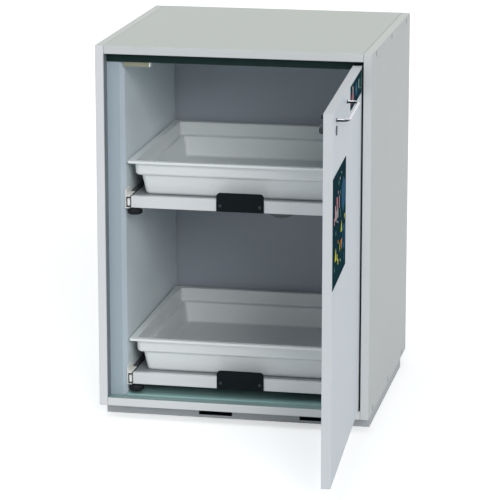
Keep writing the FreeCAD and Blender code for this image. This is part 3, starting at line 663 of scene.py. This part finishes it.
def start_circle(sides, radius, place=(0, 0, 0), turn=(0, 0, 0), fill="NGON"):
    """The flat round outline that a round piece starts from."""
    start_piece()
    bpy.ops.mesh.primitive_circle_add(vertices=sides, radius=radius, fill_type=fill,
                                      location=place, rotation=turn)
    return bpy.context.active_object


def start_sheet(x, y, z, width, depth):
    """The flat rectangle that a tray or a strip starts from."""
    start_piece()
    bpy.ops.mesh.primitive_plane_add(size=1, location=(x, y, z))
    sheet = bpy.context.active_object
    sheet.scale = (width, depth, 1)
    settle(sheet)
    return sheet


def finish_piece(obj, name, body, material, stands_for=()):
    settle(obj)
    obj.name = name
    obj.data.name = name
    obj.data.materials.clear()
    obj.data.materials.append(material)
    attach(obj, body)
    if stands_for:
        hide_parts(*stands_for)


def swing_open(obj):
    """Turns a piece that was modelled on the shut door to where the open door holds it."""
    settle(obj)
    obj.matrix_world = OPEN_DOOR @ obj.matrix_world
    settle(obj)


# Finishes of the frame's own nodes

OUTER_RUNNERS = [name for name in NODES if "_outer_runner_" in name]
INNER_RUNNERS = [name for name in NODES if "_middle_runner_" in name or "_inner_runner_" in name]


def make_finishes():
    return {
        "lining": lining_material(),
        # The back and floor lining are painted darker than the side lining, as shade.
        "back_lining_shaded": coated("back_lining_shaded", SHADED_BACK_LINING, 0.5, 2.2 * MM, 0.03 * MM, marks=0.5),
        "floor_lining_shaded": coated("floor_lining_shaded", SHADED_INNER_FLOOR, 0.4, 1.6 * MM, 0.03 * MM),
        "header": coated("dark_seal", SEAL, 0.7, 1.5 * MM, 0.08 * MM, patches=0.1, shine=0.15),
        "side_seal": coated("grey_seal", SIDE_SEAL_AND_SHADE, 0.65, 1.5 * MM, 0.08 * MM, patches=0.1),
        "black": coated("black_plastic", BLACK_PLASTIC, 0.55, 0.8 * MM, 0.05 * MM, patches=0.08,
                        shine=0.04),
        "steel_coat": coated("steel_coat", STEEL_COAT, 0.36, 1.4 * MM, 0.04 * MM, patches=0.03),
        "pan": coated("pan_steel_shaded", SHADED_PAN, 0.42, 1.4 * MM, 0.04 * MM),
        "outer_runner": runner_material(),
        # The inner and middle runners are painted dark all over, as shade.
        "inner_runner": coated("inner_runner", RUNNER_PAINTED_SHADE, 0.5, 1.4 * MM, 0.04 * MM, shine=0.3),
        "zinc": metal_material("zinc_plate", ZINC, 0.32),
        "chrome": metal_material("chrome", CHROME, 0.12, DARK_REFLECTION),
        "dark_screw": metal_material("dark_screw", DARK_SCREW, 0.4),
        "lock_face": coated("lock_face", LOCK_FACE, 0.4, 0.6 * MM, 0.02 * MM, shine=0.1),
        "cap": coated("cap_plastic", CAP, 0.6, 0.6 * MM, 0.03 * MM, shine=0.3),
        "nylon": coated("nylon", NYLON, 0.4, 0.6 * MM, 0.02 * MM),
        "rubber": coated("rubber", RUBBER, 0.62, 0.7 * MM, 0.06 * MM, patches=0.15, shine=0.2),
        "duct": coated("duct_plastic", DUCT, 0.45, 0.8 * MM, 0.04 * MM),
        "strike": coated("strike_coat", STRIKE, 0.35, 1.0 * MM, 0.03 * MM),
        "tray": coated("tray_plastic", TRAY, 0.38, 0.9 * MM, 0.05 * MM, patches=0.04, marks=0.5),
        "plate": coated("plate_ground", PLATE_GROUND, 0.8, 0.5 * MM, 0.01 * MM, patches=0.25,
                        shine=0.0),
        "bead": coated("lining_bead", BEAD, 0.4),
    }


def finish_nodes(finish):
    groups = {
        "lining": ["liner_left", "liner_right", "liner_ceiling"],
        "back_lining_shaded": ["back_liner"],
        "floor_lining_shaded": ["liner_floor"],
        "header": ["header_seal"],
        "black": ["plinth_inserts", "upper_grip", "lower_grip", "upper_pivot", "upper_bush"],
        "zinc": ["lower_pivot"],
        "lock_face": ["lock_sleeve", "lock_nut", "lock_cam"],
        "nylon": ["lower_bush"],
        "rubber": ["door_buffer"],
        "dark_screw": ["carcass_screws"],
        "duct": ["exhaust_spigot", "vent_ring"],
        "strike": ["lock_strike"],
        "plate": ["upper_door_plate", "lower_door_plate"],
        "steel_coat": ["upper_front_rail", "lower_front_rail"],
        "pan": ["upper_pan", "lower_pan"],
        "outer_runner": OUTER_RUNNERS,
        "inner_runner": INNER_RUNNERS,
    }
    for kind, names in groups.items():
        for name in names:
            paint(name, finish[kind])


# Boards

BOARD_EDGE = 0.7 * MM
# Each board's colour and the colour of its front edge band.
BOARD_NODES = {
    "side_panel_left": (SIDE_BOARD, LIT_LEFT_BAND), "side_panel_right": (SIDE_BOARD, SHADED_RIGHT_BAND),
    "base_board": (BOARD, LIT_BASE_BAND), "top_board": (TOP_BOARD, SHADED_TOP_BAND),
    **{f"plinth_{part}": (SHADED_PLINTH, SHADED_PLINTH) for part in ("front", "rear", "left", "right", "brace")},
    "back_board": (BACK_BOARD, BACK_BOARD),
}
# The boards whose upper face has a skin of its own colour. The base board's is the darker floor lining
# tone, painted shade in the recess before the lining.
TOP_SKINS = {"base_board": SHADED_FLOOR_LINING, "side_panel_left": SIDE_TOP, "side_panel_right": SIDE_TOP}


def soft_board(node, name, body, material):
    """A copy of a board whose loose triangles are merged and whose sharp edges are eased."""
    board = bpy.data.objects.new(name, NODES[node].data.copy())
    bpy.context.scene.collection.objects.link(board)
    select_only(board)
    edit_all()
    bpy.ops.mesh.remove_doubles(threshold=MERGE_REACH)
    bpy.ops.mesh.dissolve_limited(angle_limit=math.radians(0.5))
    bpy.ops.object.mode_set(mode="OBJECT")
    soften(board, BOARD_EDGE, angle=50)
    finish_piece(board, name, body, material, [node])


def make_boards():
    for node, (colour, band_colour) in BOARD_NODES.items():
        low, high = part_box(node)
        joint = END_JOINT if node in ("top_board", "base_board") else 0.0
        lined_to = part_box("back_liner")[0].y if node == "base_board" else None
        material = board_material(f"board_{node}", colour, band_colour, low, high, joint=joint,
                                  top_colour=TOP_SKINS.get(node), lined_to=lined_to)
        soft_board(node, f"{node}_finished", "carcass", material)
    low, high = shut_box("door_leaf")
    material = board_material("board_door", LIT_DOOR_BOARD, DOOR_BAND, low, high, swung=True)
    soft_board("door_leaf", "door_leaf_finished", "door", material)


# Trays

TRAY_SHEET = 3.0 * MM
RIM_WIDTH = 12.0 * MM
LIP_DROP = 5.0 * MM
LEDGE_RISE = 45.0 * MM
LEDGE_WIDTH = 10.5 * MM
UPPER_DRAFT = 1.5 * MM
LOWER_DRAFT = 8.0 * MM
WALL_CORNER = 8.0 * MM
RIM_CORNER_SHARE = 0.5
RING_ROOM = 4.0 * MM
# The radius of each fold of the sheet, in the order of the rings.
FOLD_RADII = (5.0 * MM, 3.0 * MM, 4.0 * MM, 2.5 * MM, 1.0 * MM)


def tray_rings(height):
    """The upper side of the sheet, from the floor outwards: how far in from the rim, and how high."""
    mouth = RIM_WIDTH + TRAY_SHEET
    upper = mouth + UPPER_DRAFT
    ledge = upper + LEDGE_WIDTH
    floor = ledge + LOWER_DRAFT
    step = LEDGE_RISE + TRAY_SHEET
    return [(floor, TRAY_SHEET), (ledge, step), (upper, step), (mouth, height), (0.0, height),
            (0.0, height - LIP_DROP)]


def make_tray(drawer, material):
    """A vacuum formed tray: drafted walls, a rounded ledge part way up, a flat rim and its lip."""
    node = f"{drawer}_tray"
    low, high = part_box(node)
    middle = (low + high) / 2
    width, depth, height = high - low
    rings = tray_rings(height)

    def reach(point, inset):
        return (width / 2 - inset - abs(point.x - middle.x),
                depth / 2 - inset - abs(point.y - middle.y))

    def on_ring(point, inset, rise):
        nearest = min(reach(point, inset))
        return close_to(point.z, low.z + rise) and -0.1 * MM < nearest < RING_ROOM

    inset, rise = rings[0]
    tray = start_sheet(middle.x, middle.y, low.z + rise, width - 2 * inset, depth - 2 * inset)
    edit_all("VERT")
    bpy.ops.mesh.bevel(offset=WALL_CORNER, segments=8, affect="VERTICES")
    bpy.ops.mesh.select_mode(type="EDGE")
    bpy.ops.mesh.select_all(action="SELECT")
    for (inset, rise), (next_inset, next_rise) in zip(rings, rings[1:]):
        draw_edges(0, 0, next_rise - rise)
        grow = [(side - 2 * next_inset) / (side - 2 * inset) for side in (width, depth)]
        bpy.ops.transform.resize(value=(*grow, 1), center_override=(middle.x, middle.y, 0))
    # The rim's own corners are sharper than those of the walls.
    for x in (low.x, high.x):
        for y in (low.y, high.y):
            pick("VERT", lambda p: max(abs(p.x - x), abs(p.y - y)) < RIM_WIDTH)
            bpy.ops.transform.resize(value=(RIM_CORNER_SHARE, RIM_CORNER_SHARE, 1),
                                     center_override=(x, y, 0))
    for (inset, rise), radius in zip(rings, FOLD_RADII):
        pick("EDGE", lambda a, b, i=inset, r=rise: on_ring(a, i, r) and on_ring(b, i, r))
        bpy.ops.mesh.bevel(offset=radius, segments=4, affect="EDGES", clamp_overlap=True)
    bpy.ops.mesh.select_all(action="SELECT")
    bpy.ops.mesh.remove_doubles(threshold=0.01 * MM)
    bpy.ops.object.mode_set(mode="OBJECT")
    floor_face = max(tray.data.polygons, key=lambda face: face.area)
    if floor_face.normal.z < 0:
        bpy.ops.object.mode_set(mode="EDIT")
        bpy.ops.mesh.flip_normals()
        bpy.ops.object.mode_set(mode="OBJECT")
    sheet = tray.modifiers.new("sheet", "SOLIDIFY")
    sheet.thickness = TRAY_SHEET
    sheet.offset = -1
    sheet.use_even_offset = True
    apply_modifiers(tray)
    soften(tray, 0, angle=40)
    finish_piece(tray, f"{drawer}_formed_tray", node, material, [node])


# Pieces that are modelled once and copied

SCREW_RADIUS = 3.5 * MM
SCREW_HEAD = 1.5 * MM
SCREW_SIDE_SHARE = 0.6
SCREW_CROWN_SHARE = 0.25
RECESS_LENGTH = 4.2 * MM
RECESS_WIDTH = 1.0 * MM
RECESS_FLOOR = 0.4 * MM


def cut(obj, place, size):
    """Takes a block of a size out of an object."""
    start_piece()
    bpy.ops.mesh.primitive_cube_add(size=1, location=place)
    cutter = bpy.context.active_object
    cutter.scale = size
    settle(cutter)
    modifier = obj.modifiers.new("cut", "BOOLEAN")
    modifier.operation = "DIFFERENCE"
    modifier.solver = "EXACT"
    modifier.object = cutter
    apply_modifiers(obj)
    bpy.data.objects.remove(cutter)


def make_round(radius, length, sides, place=(0, 0, 0), turn=(0, 0, 0)):
    """A closed round bar that starts as a circle and is drawn out along its own axis."""
    bar = start_circle(sides, radius, place, turn)
    axis = bar.matrix_world.to_3x3() @ Vector((0, 0, 1))
    settle(bar)
    edit_all()
    draw_out(*(axis * length))
    return bar


def close_up():
    """Leaves edit mode with doubles merged and every face pointing outwards."""
    bpy.ops.mesh.select_all(action="SELECT")
    bpy.ops.mesh.remove_doubles(threshold=MERGE_REACH)
    bpy.ops.mesh.normals_make_consistent(inside=False)
    bpy.ops.object.mode_set(mode="OBJECT")


def model_screw():
    """A low pan head that faces the front, with a cross recess. Its seat is at the origin."""
    head = make_round(SCREW_RADIUS, SCREW_SIDE_SHARE * SCREW_HEAD, 28, turn=(QUARTER_TURN, 0, 0))
    bpy.ops.mesh.inset(thickness=SCREW_CROWN_SHARE * SCREW_RADIUS)
    bpy.ops.transform.translate(value=(0, (SCREW_SIDE_SHARE - 1) * SCREW_HEAD, 0))
    close_up()
    for width, height in ((RECESS_WIDTH, RECESS_LENGTH), (RECESS_LENGTH, RECESS_WIDTH)):
        cut(head, (0, -RECESS_FLOOR - SCREW_HEAD, 0), (width, 2 * SCREW_HEAD, height))
    soften(head, 0, angle=30)
    return head


def model_cap():
    """A round cover cap that faces the front: its lip and its slightly raised middle."""
    side, *rises = CAP_RISES
    cap = make_round(CAP_RADIUS, side * CAP_HEIGHT, 48, turn=(QUARTER_TURN, 0, 0))
    for rise in rises:
        bpy.ops.mesh.inset(thickness=CAP_LIP)
        bpy.ops.transform.translate(value=(0, -rise * CAP_HEIGHT, 0))
    close_up()
    soften(cap, 0, angle=50)
    return cap


def place_copy(model, place, turn=(0, 0, 0), size=1.0):
    twin = model.copy()
    twin.data = model.data.copy()
    bpy.context.scene.collection.objects.link(twin)
    twin.location = place
    twin.rotation_euler = turn
    twin.scale = (size, size, size)
    settle(twin)
    return twin


def join(objects):
    start_piece()
    for obj in objects:
        obj.select_set(True)
    bpy.context.view_layer.objects.active = objects[0]
    bpy.ops.object.join()
    return bpy.context.active_object


CAP_RADIUS = 7.0 * MM
CAP_HEIGHT = 1.5 * MM
CAP_LIP = 0.9 * MM
# The shares of a cap's height that its side, its lip and its middle rise by.
CAP_RISES = (0.6, 0.3, 0.1)
CAP_Y = (-223 * MM, 0.0, 223 * MM)
CAP_Z = (39 * MM, 811 * MM)
GRIP_SCREW_X = (-33 * MM, 53 * MM)
GRIP_SCREW_RISE = 3.5 * MM
BACK_SCREW_X = (-265 * MM, -90 * MM, 90 * MM, 265 * MM)
BACK_SCREW_Z = (62 * MM, 240 * MM, 420 * MM, 600 * MM, 788 * MM)


def make_caps(finish):
    cap = model_cap()
    low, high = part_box("screw_caps")
    caps = []
    for y in CAP_Y:
        for z in CAP_Z:
            caps.append(place_copy(cap, (low.x + CAP_HEIGHT, y, z), (0, 0, -QUARTER_TURN)))
            caps.append(place_copy(cap, (high.x - CAP_HEIGHT, y, z), (0, 0, QUARTER_TURN)))
    finish_piece(join(caps), "screw_cover_caps", "carcass", finish["cap"],
                 ["screw_caps"])
    bpy.data.objects.remove(cap)


def make_screws(finish):
    screw = model_screw()
    for drawer in DRAWERS:
        low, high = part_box(f"{drawer}_grip_screws")
        heads = [place_copy(screw, (x, low.y + SCREW_HEAD, low.z + GRIP_SCREW_RISE))
                 for x in GRIP_SCREW_X]
        finish_piece(join(heads), f"{drawer}_grip_screw_heads", f"{drawer}_drawer",
                     finish["dark_screw"], [f"{drawer}_grip_screws"])
    low, high = shut_box("handle_screws")
    size = (high.z - low.z) / 2 / SCREW_RADIUS
    reach = size * SCREW_RADIUS
    heads = [place_copy(screw, (x, high.y - size * SCREW_HEAD, low.z + reach),
                        (0, 0, math.pi), size) for x in (low.x + reach, high.x - reach)]
    heads = join(heads)
    swing_open(heads)
    finish_piece(heads, "handle_screw_heads", "door", finish["zinc"],
                 ["handle_screws"])
    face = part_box("back_board")[1].y
    edges = (BACK_SCREW_X[0], BACK_SCREW_X[-1], BACK_SCREW_Z[0], BACK_SCREW_Z[-1])
    places = [(x, z) for x in BACK_SCREW_X for z in BACK_SCREW_Z if x in edges or z in edges]
    heads = [place_copy(screw, (x, face, z), (0, 0, math.pi)) for x, z in places]
    finish_piece(join(heads), "back_board_screws", "carcass", finish["dark_screw"])
    bpy.data.objects.remove(screw)


# Drawer fittings

DISC_Y = -245 * MM
DISC_RADIUS = 16.0 * MM
DISC_NECK_RADIUS = 8.0 * MM
DISC_NECK = 3.0 * MM
DISC_SHOULDER = 3.0 * MM
DISC_BEVEL = 2.5 * MM
DISC_BAND = 2.2 * MM
DISC_GROOVE = 1.0 * MM
GROOVE_SIDE = 0.4 * MM
GROOVE_FLOOR = 0.8 * MM
DISC_SEAT_WIDTH = 7.0 * MM
DISC_SEAT_DEPTH = 5.0 * MM
GLIDE_WIDTH = 6.2 * MM
GLIDE_HEIGHT = 16.4 * MM
GLIDE_LENGTH = 16.0 * MM
GLIDE_RIM = 1.2 * MM
GLIDE_HOLLOW = 1.5 * MM
GLIDE_SETBACK = 0.5 * MM
# How far across the runner the glide sits, from its left side.
GLIDE_SHARE = 0.41


def model_disc():
    """A round rubber buffer under its neck, with a grooved side and a sunk screw seat below."""
    disc = make_round(DISC_NECK_RADIUS, -DISC_NECK, 64)
    outer, shoulder, groove = DISC_RADIUS, DISC_RADIUS - DISC_SHOULDER, DISC_RADIUS - DISC_GROOVE
    steps = [(shoulder, 0), (outer, -DISC_BEVEL), (outer, -DISC_BAND), (groove, -GROOVE_SIDE),
             (groove, -GROOVE_FLOOR), (outer, -GROOVE_SIDE), (outer, -DISC_BAND),
             (shoulder, -DISC_BEVEL)]
    radius = DISC_NECK_RADIUS
    for next_radius, drop in steps:
        draw_out(0, 0, drop)
        grow = next_radius / radius
        bpy.ops.transform.resize(value=(grow, grow, 1), center_override=(0, 0, 0))
        radius = next_radius
    bpy.ops.mesh.inset(thickness=DISC_SEAT_WIDTH)
    draw_out(0, 0, DISC_SEAT_DEPTH)
    close_up()
    soften(disc, 0.6 * MM, segments=3, angle=25)
    return disc


def model_glide():
    """The nylon glide that fills the end of a drawer runner, with rounded top and bottom."""
    glide = start_circle(20, GLIDE_WIDTH / 2, turn=(QUARTER_TURN, 0, 0))
    settle(glide)
    bpy.ops.object.mode_set(mode="EDIT")
    stretch = (GLIDE_HEIGHT - GLIDE_WIDTH) / 2
    for side in (-1, 1):
        pick("VERT", lambda p: p.z * side > 0.01 * MM)
        bpy.ops.transform.translate(value=(0, 0, side * stretch))
    bpy.ops.mesh.select_mode(type="FACE")
    bpy.ops.mesh.select_all(action="SELECT")
    draw_out(0, -GLIDE_LENGTH, 0)
    bpy.ops.mesh.inset(thickness=GLIDE_RIM)
    draw_out(0, GLIDE_HOLLOW, 0)
    close_up()
    soften(glide, 0.5 * MM, segments=3, angle=40)
    return glide


def make_drawer_fittings(finish):
    disc, glide = model_disc(), model_glide()
    for drawer in DRAWERS:
        body = f"{drawer}_drawer"
        low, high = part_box(f"{drawer}_discs")
        centres = (low.x + DISC_RADIUS, high.x - DISC_RADIUS)
        discs = join([place_copy(disc, (x, DISC_Y, high.z)) for x in centres])
        finish_piece(discs, f"{drawer}_rubber_discs", body, finish["rubber"],
                     [f"{drawer}_discs"])
        glides = []
        for side, share in (("left", GLIDE_SHARE), ("right", 1 - GLIDE_SHARE)):
            low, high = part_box(f"{drawer}_inner_runner_{side}")
            x = low.x + (high.x - low.x) * share
            y = low.y + GLIDE_LENGTH + GLIDE_SETBACK
            glides.append(place_copy(glide, (x, y, (low.z + high.z) / 2)))
        finish_piece(join(glides), f"{drawer}_runner_glides", body, finish["nylon"])
    bpy.data.objects.remove(disc)
    bpy.data.objects.remove(glide)


# Handle and lock

HANDLE_SIDES = 28
HANDLE_BEND = 12.0 * MM
WASHER_RADIUS = 4.4 * MM
WASHER_HEIGHT = 0.8 * MM
KEY_SLOT_LENGTH = 6.4 * MM
KEY_SLOT_WIDTH = 1.3 * MM
KEY_SLOT_DEPTH = 3.0 * MM


def make_handle(finish):
    """A bow handle: one round wire drawn out, bent, drawn along, bent back and drawn in."""
    low, high = shut_box("door_handle")
    radius = (high.z - low.z) / 2
    line, face = low.z + radius, high.y
    left, right, out = low.x + radius, high.x - radius, low.y + radius
    handle = start_circle(HANDLE_SIDES, radius, (left, face, line), (QUARTER_TURN, 0, 0), "NOTHING")
    settle(handle)
    edit_all("EDGE")
    leg = out + HANDLE_BEND - face
    draw_edges(0, leg, 0)
    bpy.ops.mesh.spin(steps=12, angle=-QUARTER_TURN, axis=(0, 0, 1),
                      center=(left + HANDLE_BEND, out + HANDLE_BEND, line))
    draw_edges(right - left - 2 * HANDLE_BEND, 0, 0)
    bpy.ops.mesh.spin(steps=12, angle=-QUARTER_TURN, axis=(0, 0, 1),
                      center=(right - HANDLE_BEND, out + HANDLE_BEND, line))
    draw_edges(0, -leg, 0)
    for foot in (left, right):
        pick("EDGE", lambda a, b: close_to(a.y, face) and close_to(b.y, face)
             and abs(a.x - foot) < 2 * radius)
        bpy.ops.mesh.edge_face_add()
    close_up()
    soften(handle, 0, angle=40)
    swing_open(handle)
    finish_piece(handle, "chrome_handle", "door", finish["chrome"], ["door_handle"])
    washers = []
    for foot in (left, right):
        washer = make_round(WASHER_RADIUS, WASHER_HEIGHT, 32, (foot, face, line),
                            (QUARTER_TURN, 0, 0))
        close_up()
        soften(washer, 0.5 * MM, segments=3)
        washers.append(washer)
    washers = join(washers)
    swing_open(washers)
    finish_piece(washers, "handle_washers", "door", finish["dark_screw"])


def make_lock(finish):
    """The lock's cylinder, with a key slot cut into its face."""
    low, high = shut_box("lock_cylinder")
    middle = (low + high) / 2
    radius = (high.z - low.z) / 2
    core = make_round(radius, high.y - low.y, 40, (middle.x, high.y, middle.z),
                      (QUARTER_TURN, 0, 0))
    close_up()
    soften(core, 0.5 * MM)
    cut(core, (middle.x, low.y, middle.z), (KEY_SLOT_WIDTH, 2 * KEY_SLOT_DEPTH, KEY_SLOT_LENGTH))
    soften(core, 0, angle=30)
    swing_open(core)
    finish_piece(core, "lock_core", "lock", finish["lock_face"], ["lock_cylinder"])


# Seals, beads and the strike's end

SIDE_SEAL_THICKNESS = 1.0 * MM
SEAL_SETBACK = 1.5 * MM
CORNER_BEAD = 3.0 * MM
STRIKE_CAP = 3.0 * MM


def make_strip(name, low, high, body, material, edge=0.3 * MM):
    """A straight strip between two corners: one end is drawn out upwards and its edges eased."""
    middle, size = (low + high) / 2, high - low
    strip = start_sheet(middle.x, middle.y, low.z, size.x, size.y)
    edit_all()
    draw_out(0, 0, size.z)
    close_up()
    soften(strip, edge)
    finish_piece(strip, name, body, material)


def make_trim(finish):
    panel_low, panel_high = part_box("side_panel_left")
    liner_low, liner_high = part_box("liner_left")
    floor_top, header_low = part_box("base_board")[1].z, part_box("top_board")[0].z
    front = panel_low.y + SEAL_SETBACK
    # Both strips stand for shade in the recess before the lining: the left is a grey seal strip whose
    # dark tone is partly painted shade, the right is painted in the dark seal colour as the shade of
    # the gap by the hinges.
    for side, x, coat in (("left", panel_high.x, "side_seal"),
                          ("right", -panel_high.x - SIDE_SEAL_THICKNESS, "header")):
        make_strip(f"side_seal_{side}", Vector((x, front, floor_top)),
                   Vector((x + SIDE_SEAL_THICKNESS, liner_low.y, header_low)),
                   "carcass", finish[coat])
    bead = Vector((liner_high.x, liner_high.y - 2 * CORNER_BEAD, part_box("liner_floor")[1].z))
    make_strip("corner_bead", bead, Vector((bead.x + CORNER_BEAD, bead.y + CORNER_BEAD,
                                            liner_high.z)),
               "carcass", finish["bead"], 1 * MM)
    low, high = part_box("lock_strike")
    make_strip("strike_end", Vector((high.x, low.y, low.z)),
               Vector((high.x + STRIKE_CAP, high.y, high.z)), "carcass",
               finish["nylon"], 0.8 * MM)


# Printed plates on the door

PRINT_HEIGHT = 0.15 * MM
# The shapes of each ink: number of sides, width and height in mm, and place across and up the
# plate as shares. Some also have a turn in degrees and a share that is left open in the middle.
UPPER_PRINTS = {
    "blue": [(6, 30, 30, 0.48, 0.54, 0, 0.4), (4, 5, 22, 0.63, 0.34, 30)],
    "pink": [(4, 5, 26, 0.21, 0.52, 45), (40, 6, 6, 0.19, 0.84)],
    "white": [(4, 3, 34, 0.165, 0.56, 45), (4, 3, 18, 0.70, 0.60, 45), (40, 3, 3, 0.86, 0.30)],
    "red": [(40, 16, 24, 0.09, 0.40), (4, 4, 16, 0.255, 0.40, 45)],
    "green": [(40, 9, 9, 0.48, 0.54), (40, 20, 20, 0.78, 0.56, 0, 0.7), (4, 4, 26, 0.94, 0.5, 45)],
}
LOWER_PRINTS = {
    "blue": [(6, 60, 72, 0.80, 0.70), (6, 48, 48, 0.84, 0.30, 30, 0.6),
             (40, 14, 14, 0.86, 0.11, 0, 0.6)],
    "pink": [(4, 5, 14, 0.10, 0.60, 45), (40, 7, 7, 0.40, 0.80), (4, 9, 30, 0.18, 0.66, 45),
             (4, 9, 42, 0.31, 0.68, 45), (4, 7, 24, 0.47, 0.70, 45)],
    "white": [(40, 4, 4, 0.64, 0.93), (4, 4, 16, 0.38, 0.62, 45), (40, 5, 5, 0.58, 0.14),
              (40, 6, 6, 0.53, 0.90), (4, 5, 22, 0.24, 0.62, 45), (40, 5, 5, 0.37, 0.54)],
    "red": [(4, 6, 14, 0.24, 0.76, 45)],
    "yellow": [(4, 7, 20, 0.54, 0.27, 20), (3, 14, 16, 0.92, 0.47, 180), (4, 8, 16, 0.34, 0.22, 30),
               (3, 24, 30, 0.66, 0.42), (3, 28, 34, 0.22, 0.26), (40, 12, 12, 0.40, 0.17, 0, 0.45)],
    "orange": [(3, 22, 28, 0.66, 0.28, 180), (40, 8, 8, 0.40, 0.35)],
    "green": [(4, 9, 9, 0.58, 0.76, 45, 0.4), (4, 5, 18, 0.56, 0.58, 45), (3, 12, 14, 0.12, 0.16),
              (40, 10, 10, 0.44, 0.88), (40, 9, 9, 0.22, 0.47, 0, 0.4)],
}


def make_print(low, high, sides, width, height, across, up, turn=0, opening=0):
    """One printed shape: a flat outline on the plate's face, drawn out by the height of the ink."""
    mark = start_circle(sides, 0.5, turn=(0, 0, math.radians(turn)))
    settle(mark)
    span = 2 * max(abs(v.co.x) for v in mark.data.vertices)
    rise = 2 * max(abs(v.co.y) for v in mark.data.vertices)
    mark.scale = (width * MM / span, height * MM / rise, 1)
    settle(mark)
    mark.rotation_euler = (QUARTER_TURN, 0, 0)
    mark.location = (low.x + (high.x - low.x) * across, low.y, low.z + (high.z - low.z) * up)
    settle(mark)
    edit_all("FACE")
    if opening:
        bpy.ops.mesh.inset(thickness=(1 - opening) * min(width, height) * MM / 2)
        bpy.ops.mesh.delete(type="FACE")
        bpy.ops.mesh.select_all(action="SELECT")
    draw_out(0, -PRINT_HEIGHT, 0)
    close_up()
    return mark


def make_plates():
    materials = {ink: coated(f"ink_{ink}", colour, 0.75, 0.5 * MM, 0.01 * MM, patches=0.2,
                             shine=0.05)
                 for ink, colour in INKS.items()}
    for plate, shapes in (("upper", UPPER_PRINTS), ("lower", LOWER_PRINTS)):
        low, high = shut_box(f"{plate}_door_plate")
        for ink, material in materials.items():
            marks = [make_print(low, high, *shape) for shape in shapes.get(ink, [])]
            if marks:
                marks = join(marks)
                swing_open(marks)
                finish_piece(marks, f"{plate}_plate_{ink}", "door", material)


bpy.context.scene.view_settings.view_transform = "Standard"
make_camera()
make_floor()
make_world()
for lamp in LAMPS:
    add_lamp(*lamp)

finish = make_finishes()
finish_nodes(finish)
make_boards()
for drawer in DRAWERS:
    make_tray(drawer, finish["tray"])
make_caps(finish)
make_screws(finish)
make_drawer_fittings(finish)
make_handle(finish)
make_lock(finish)
make_trim(finish)
make_plates()
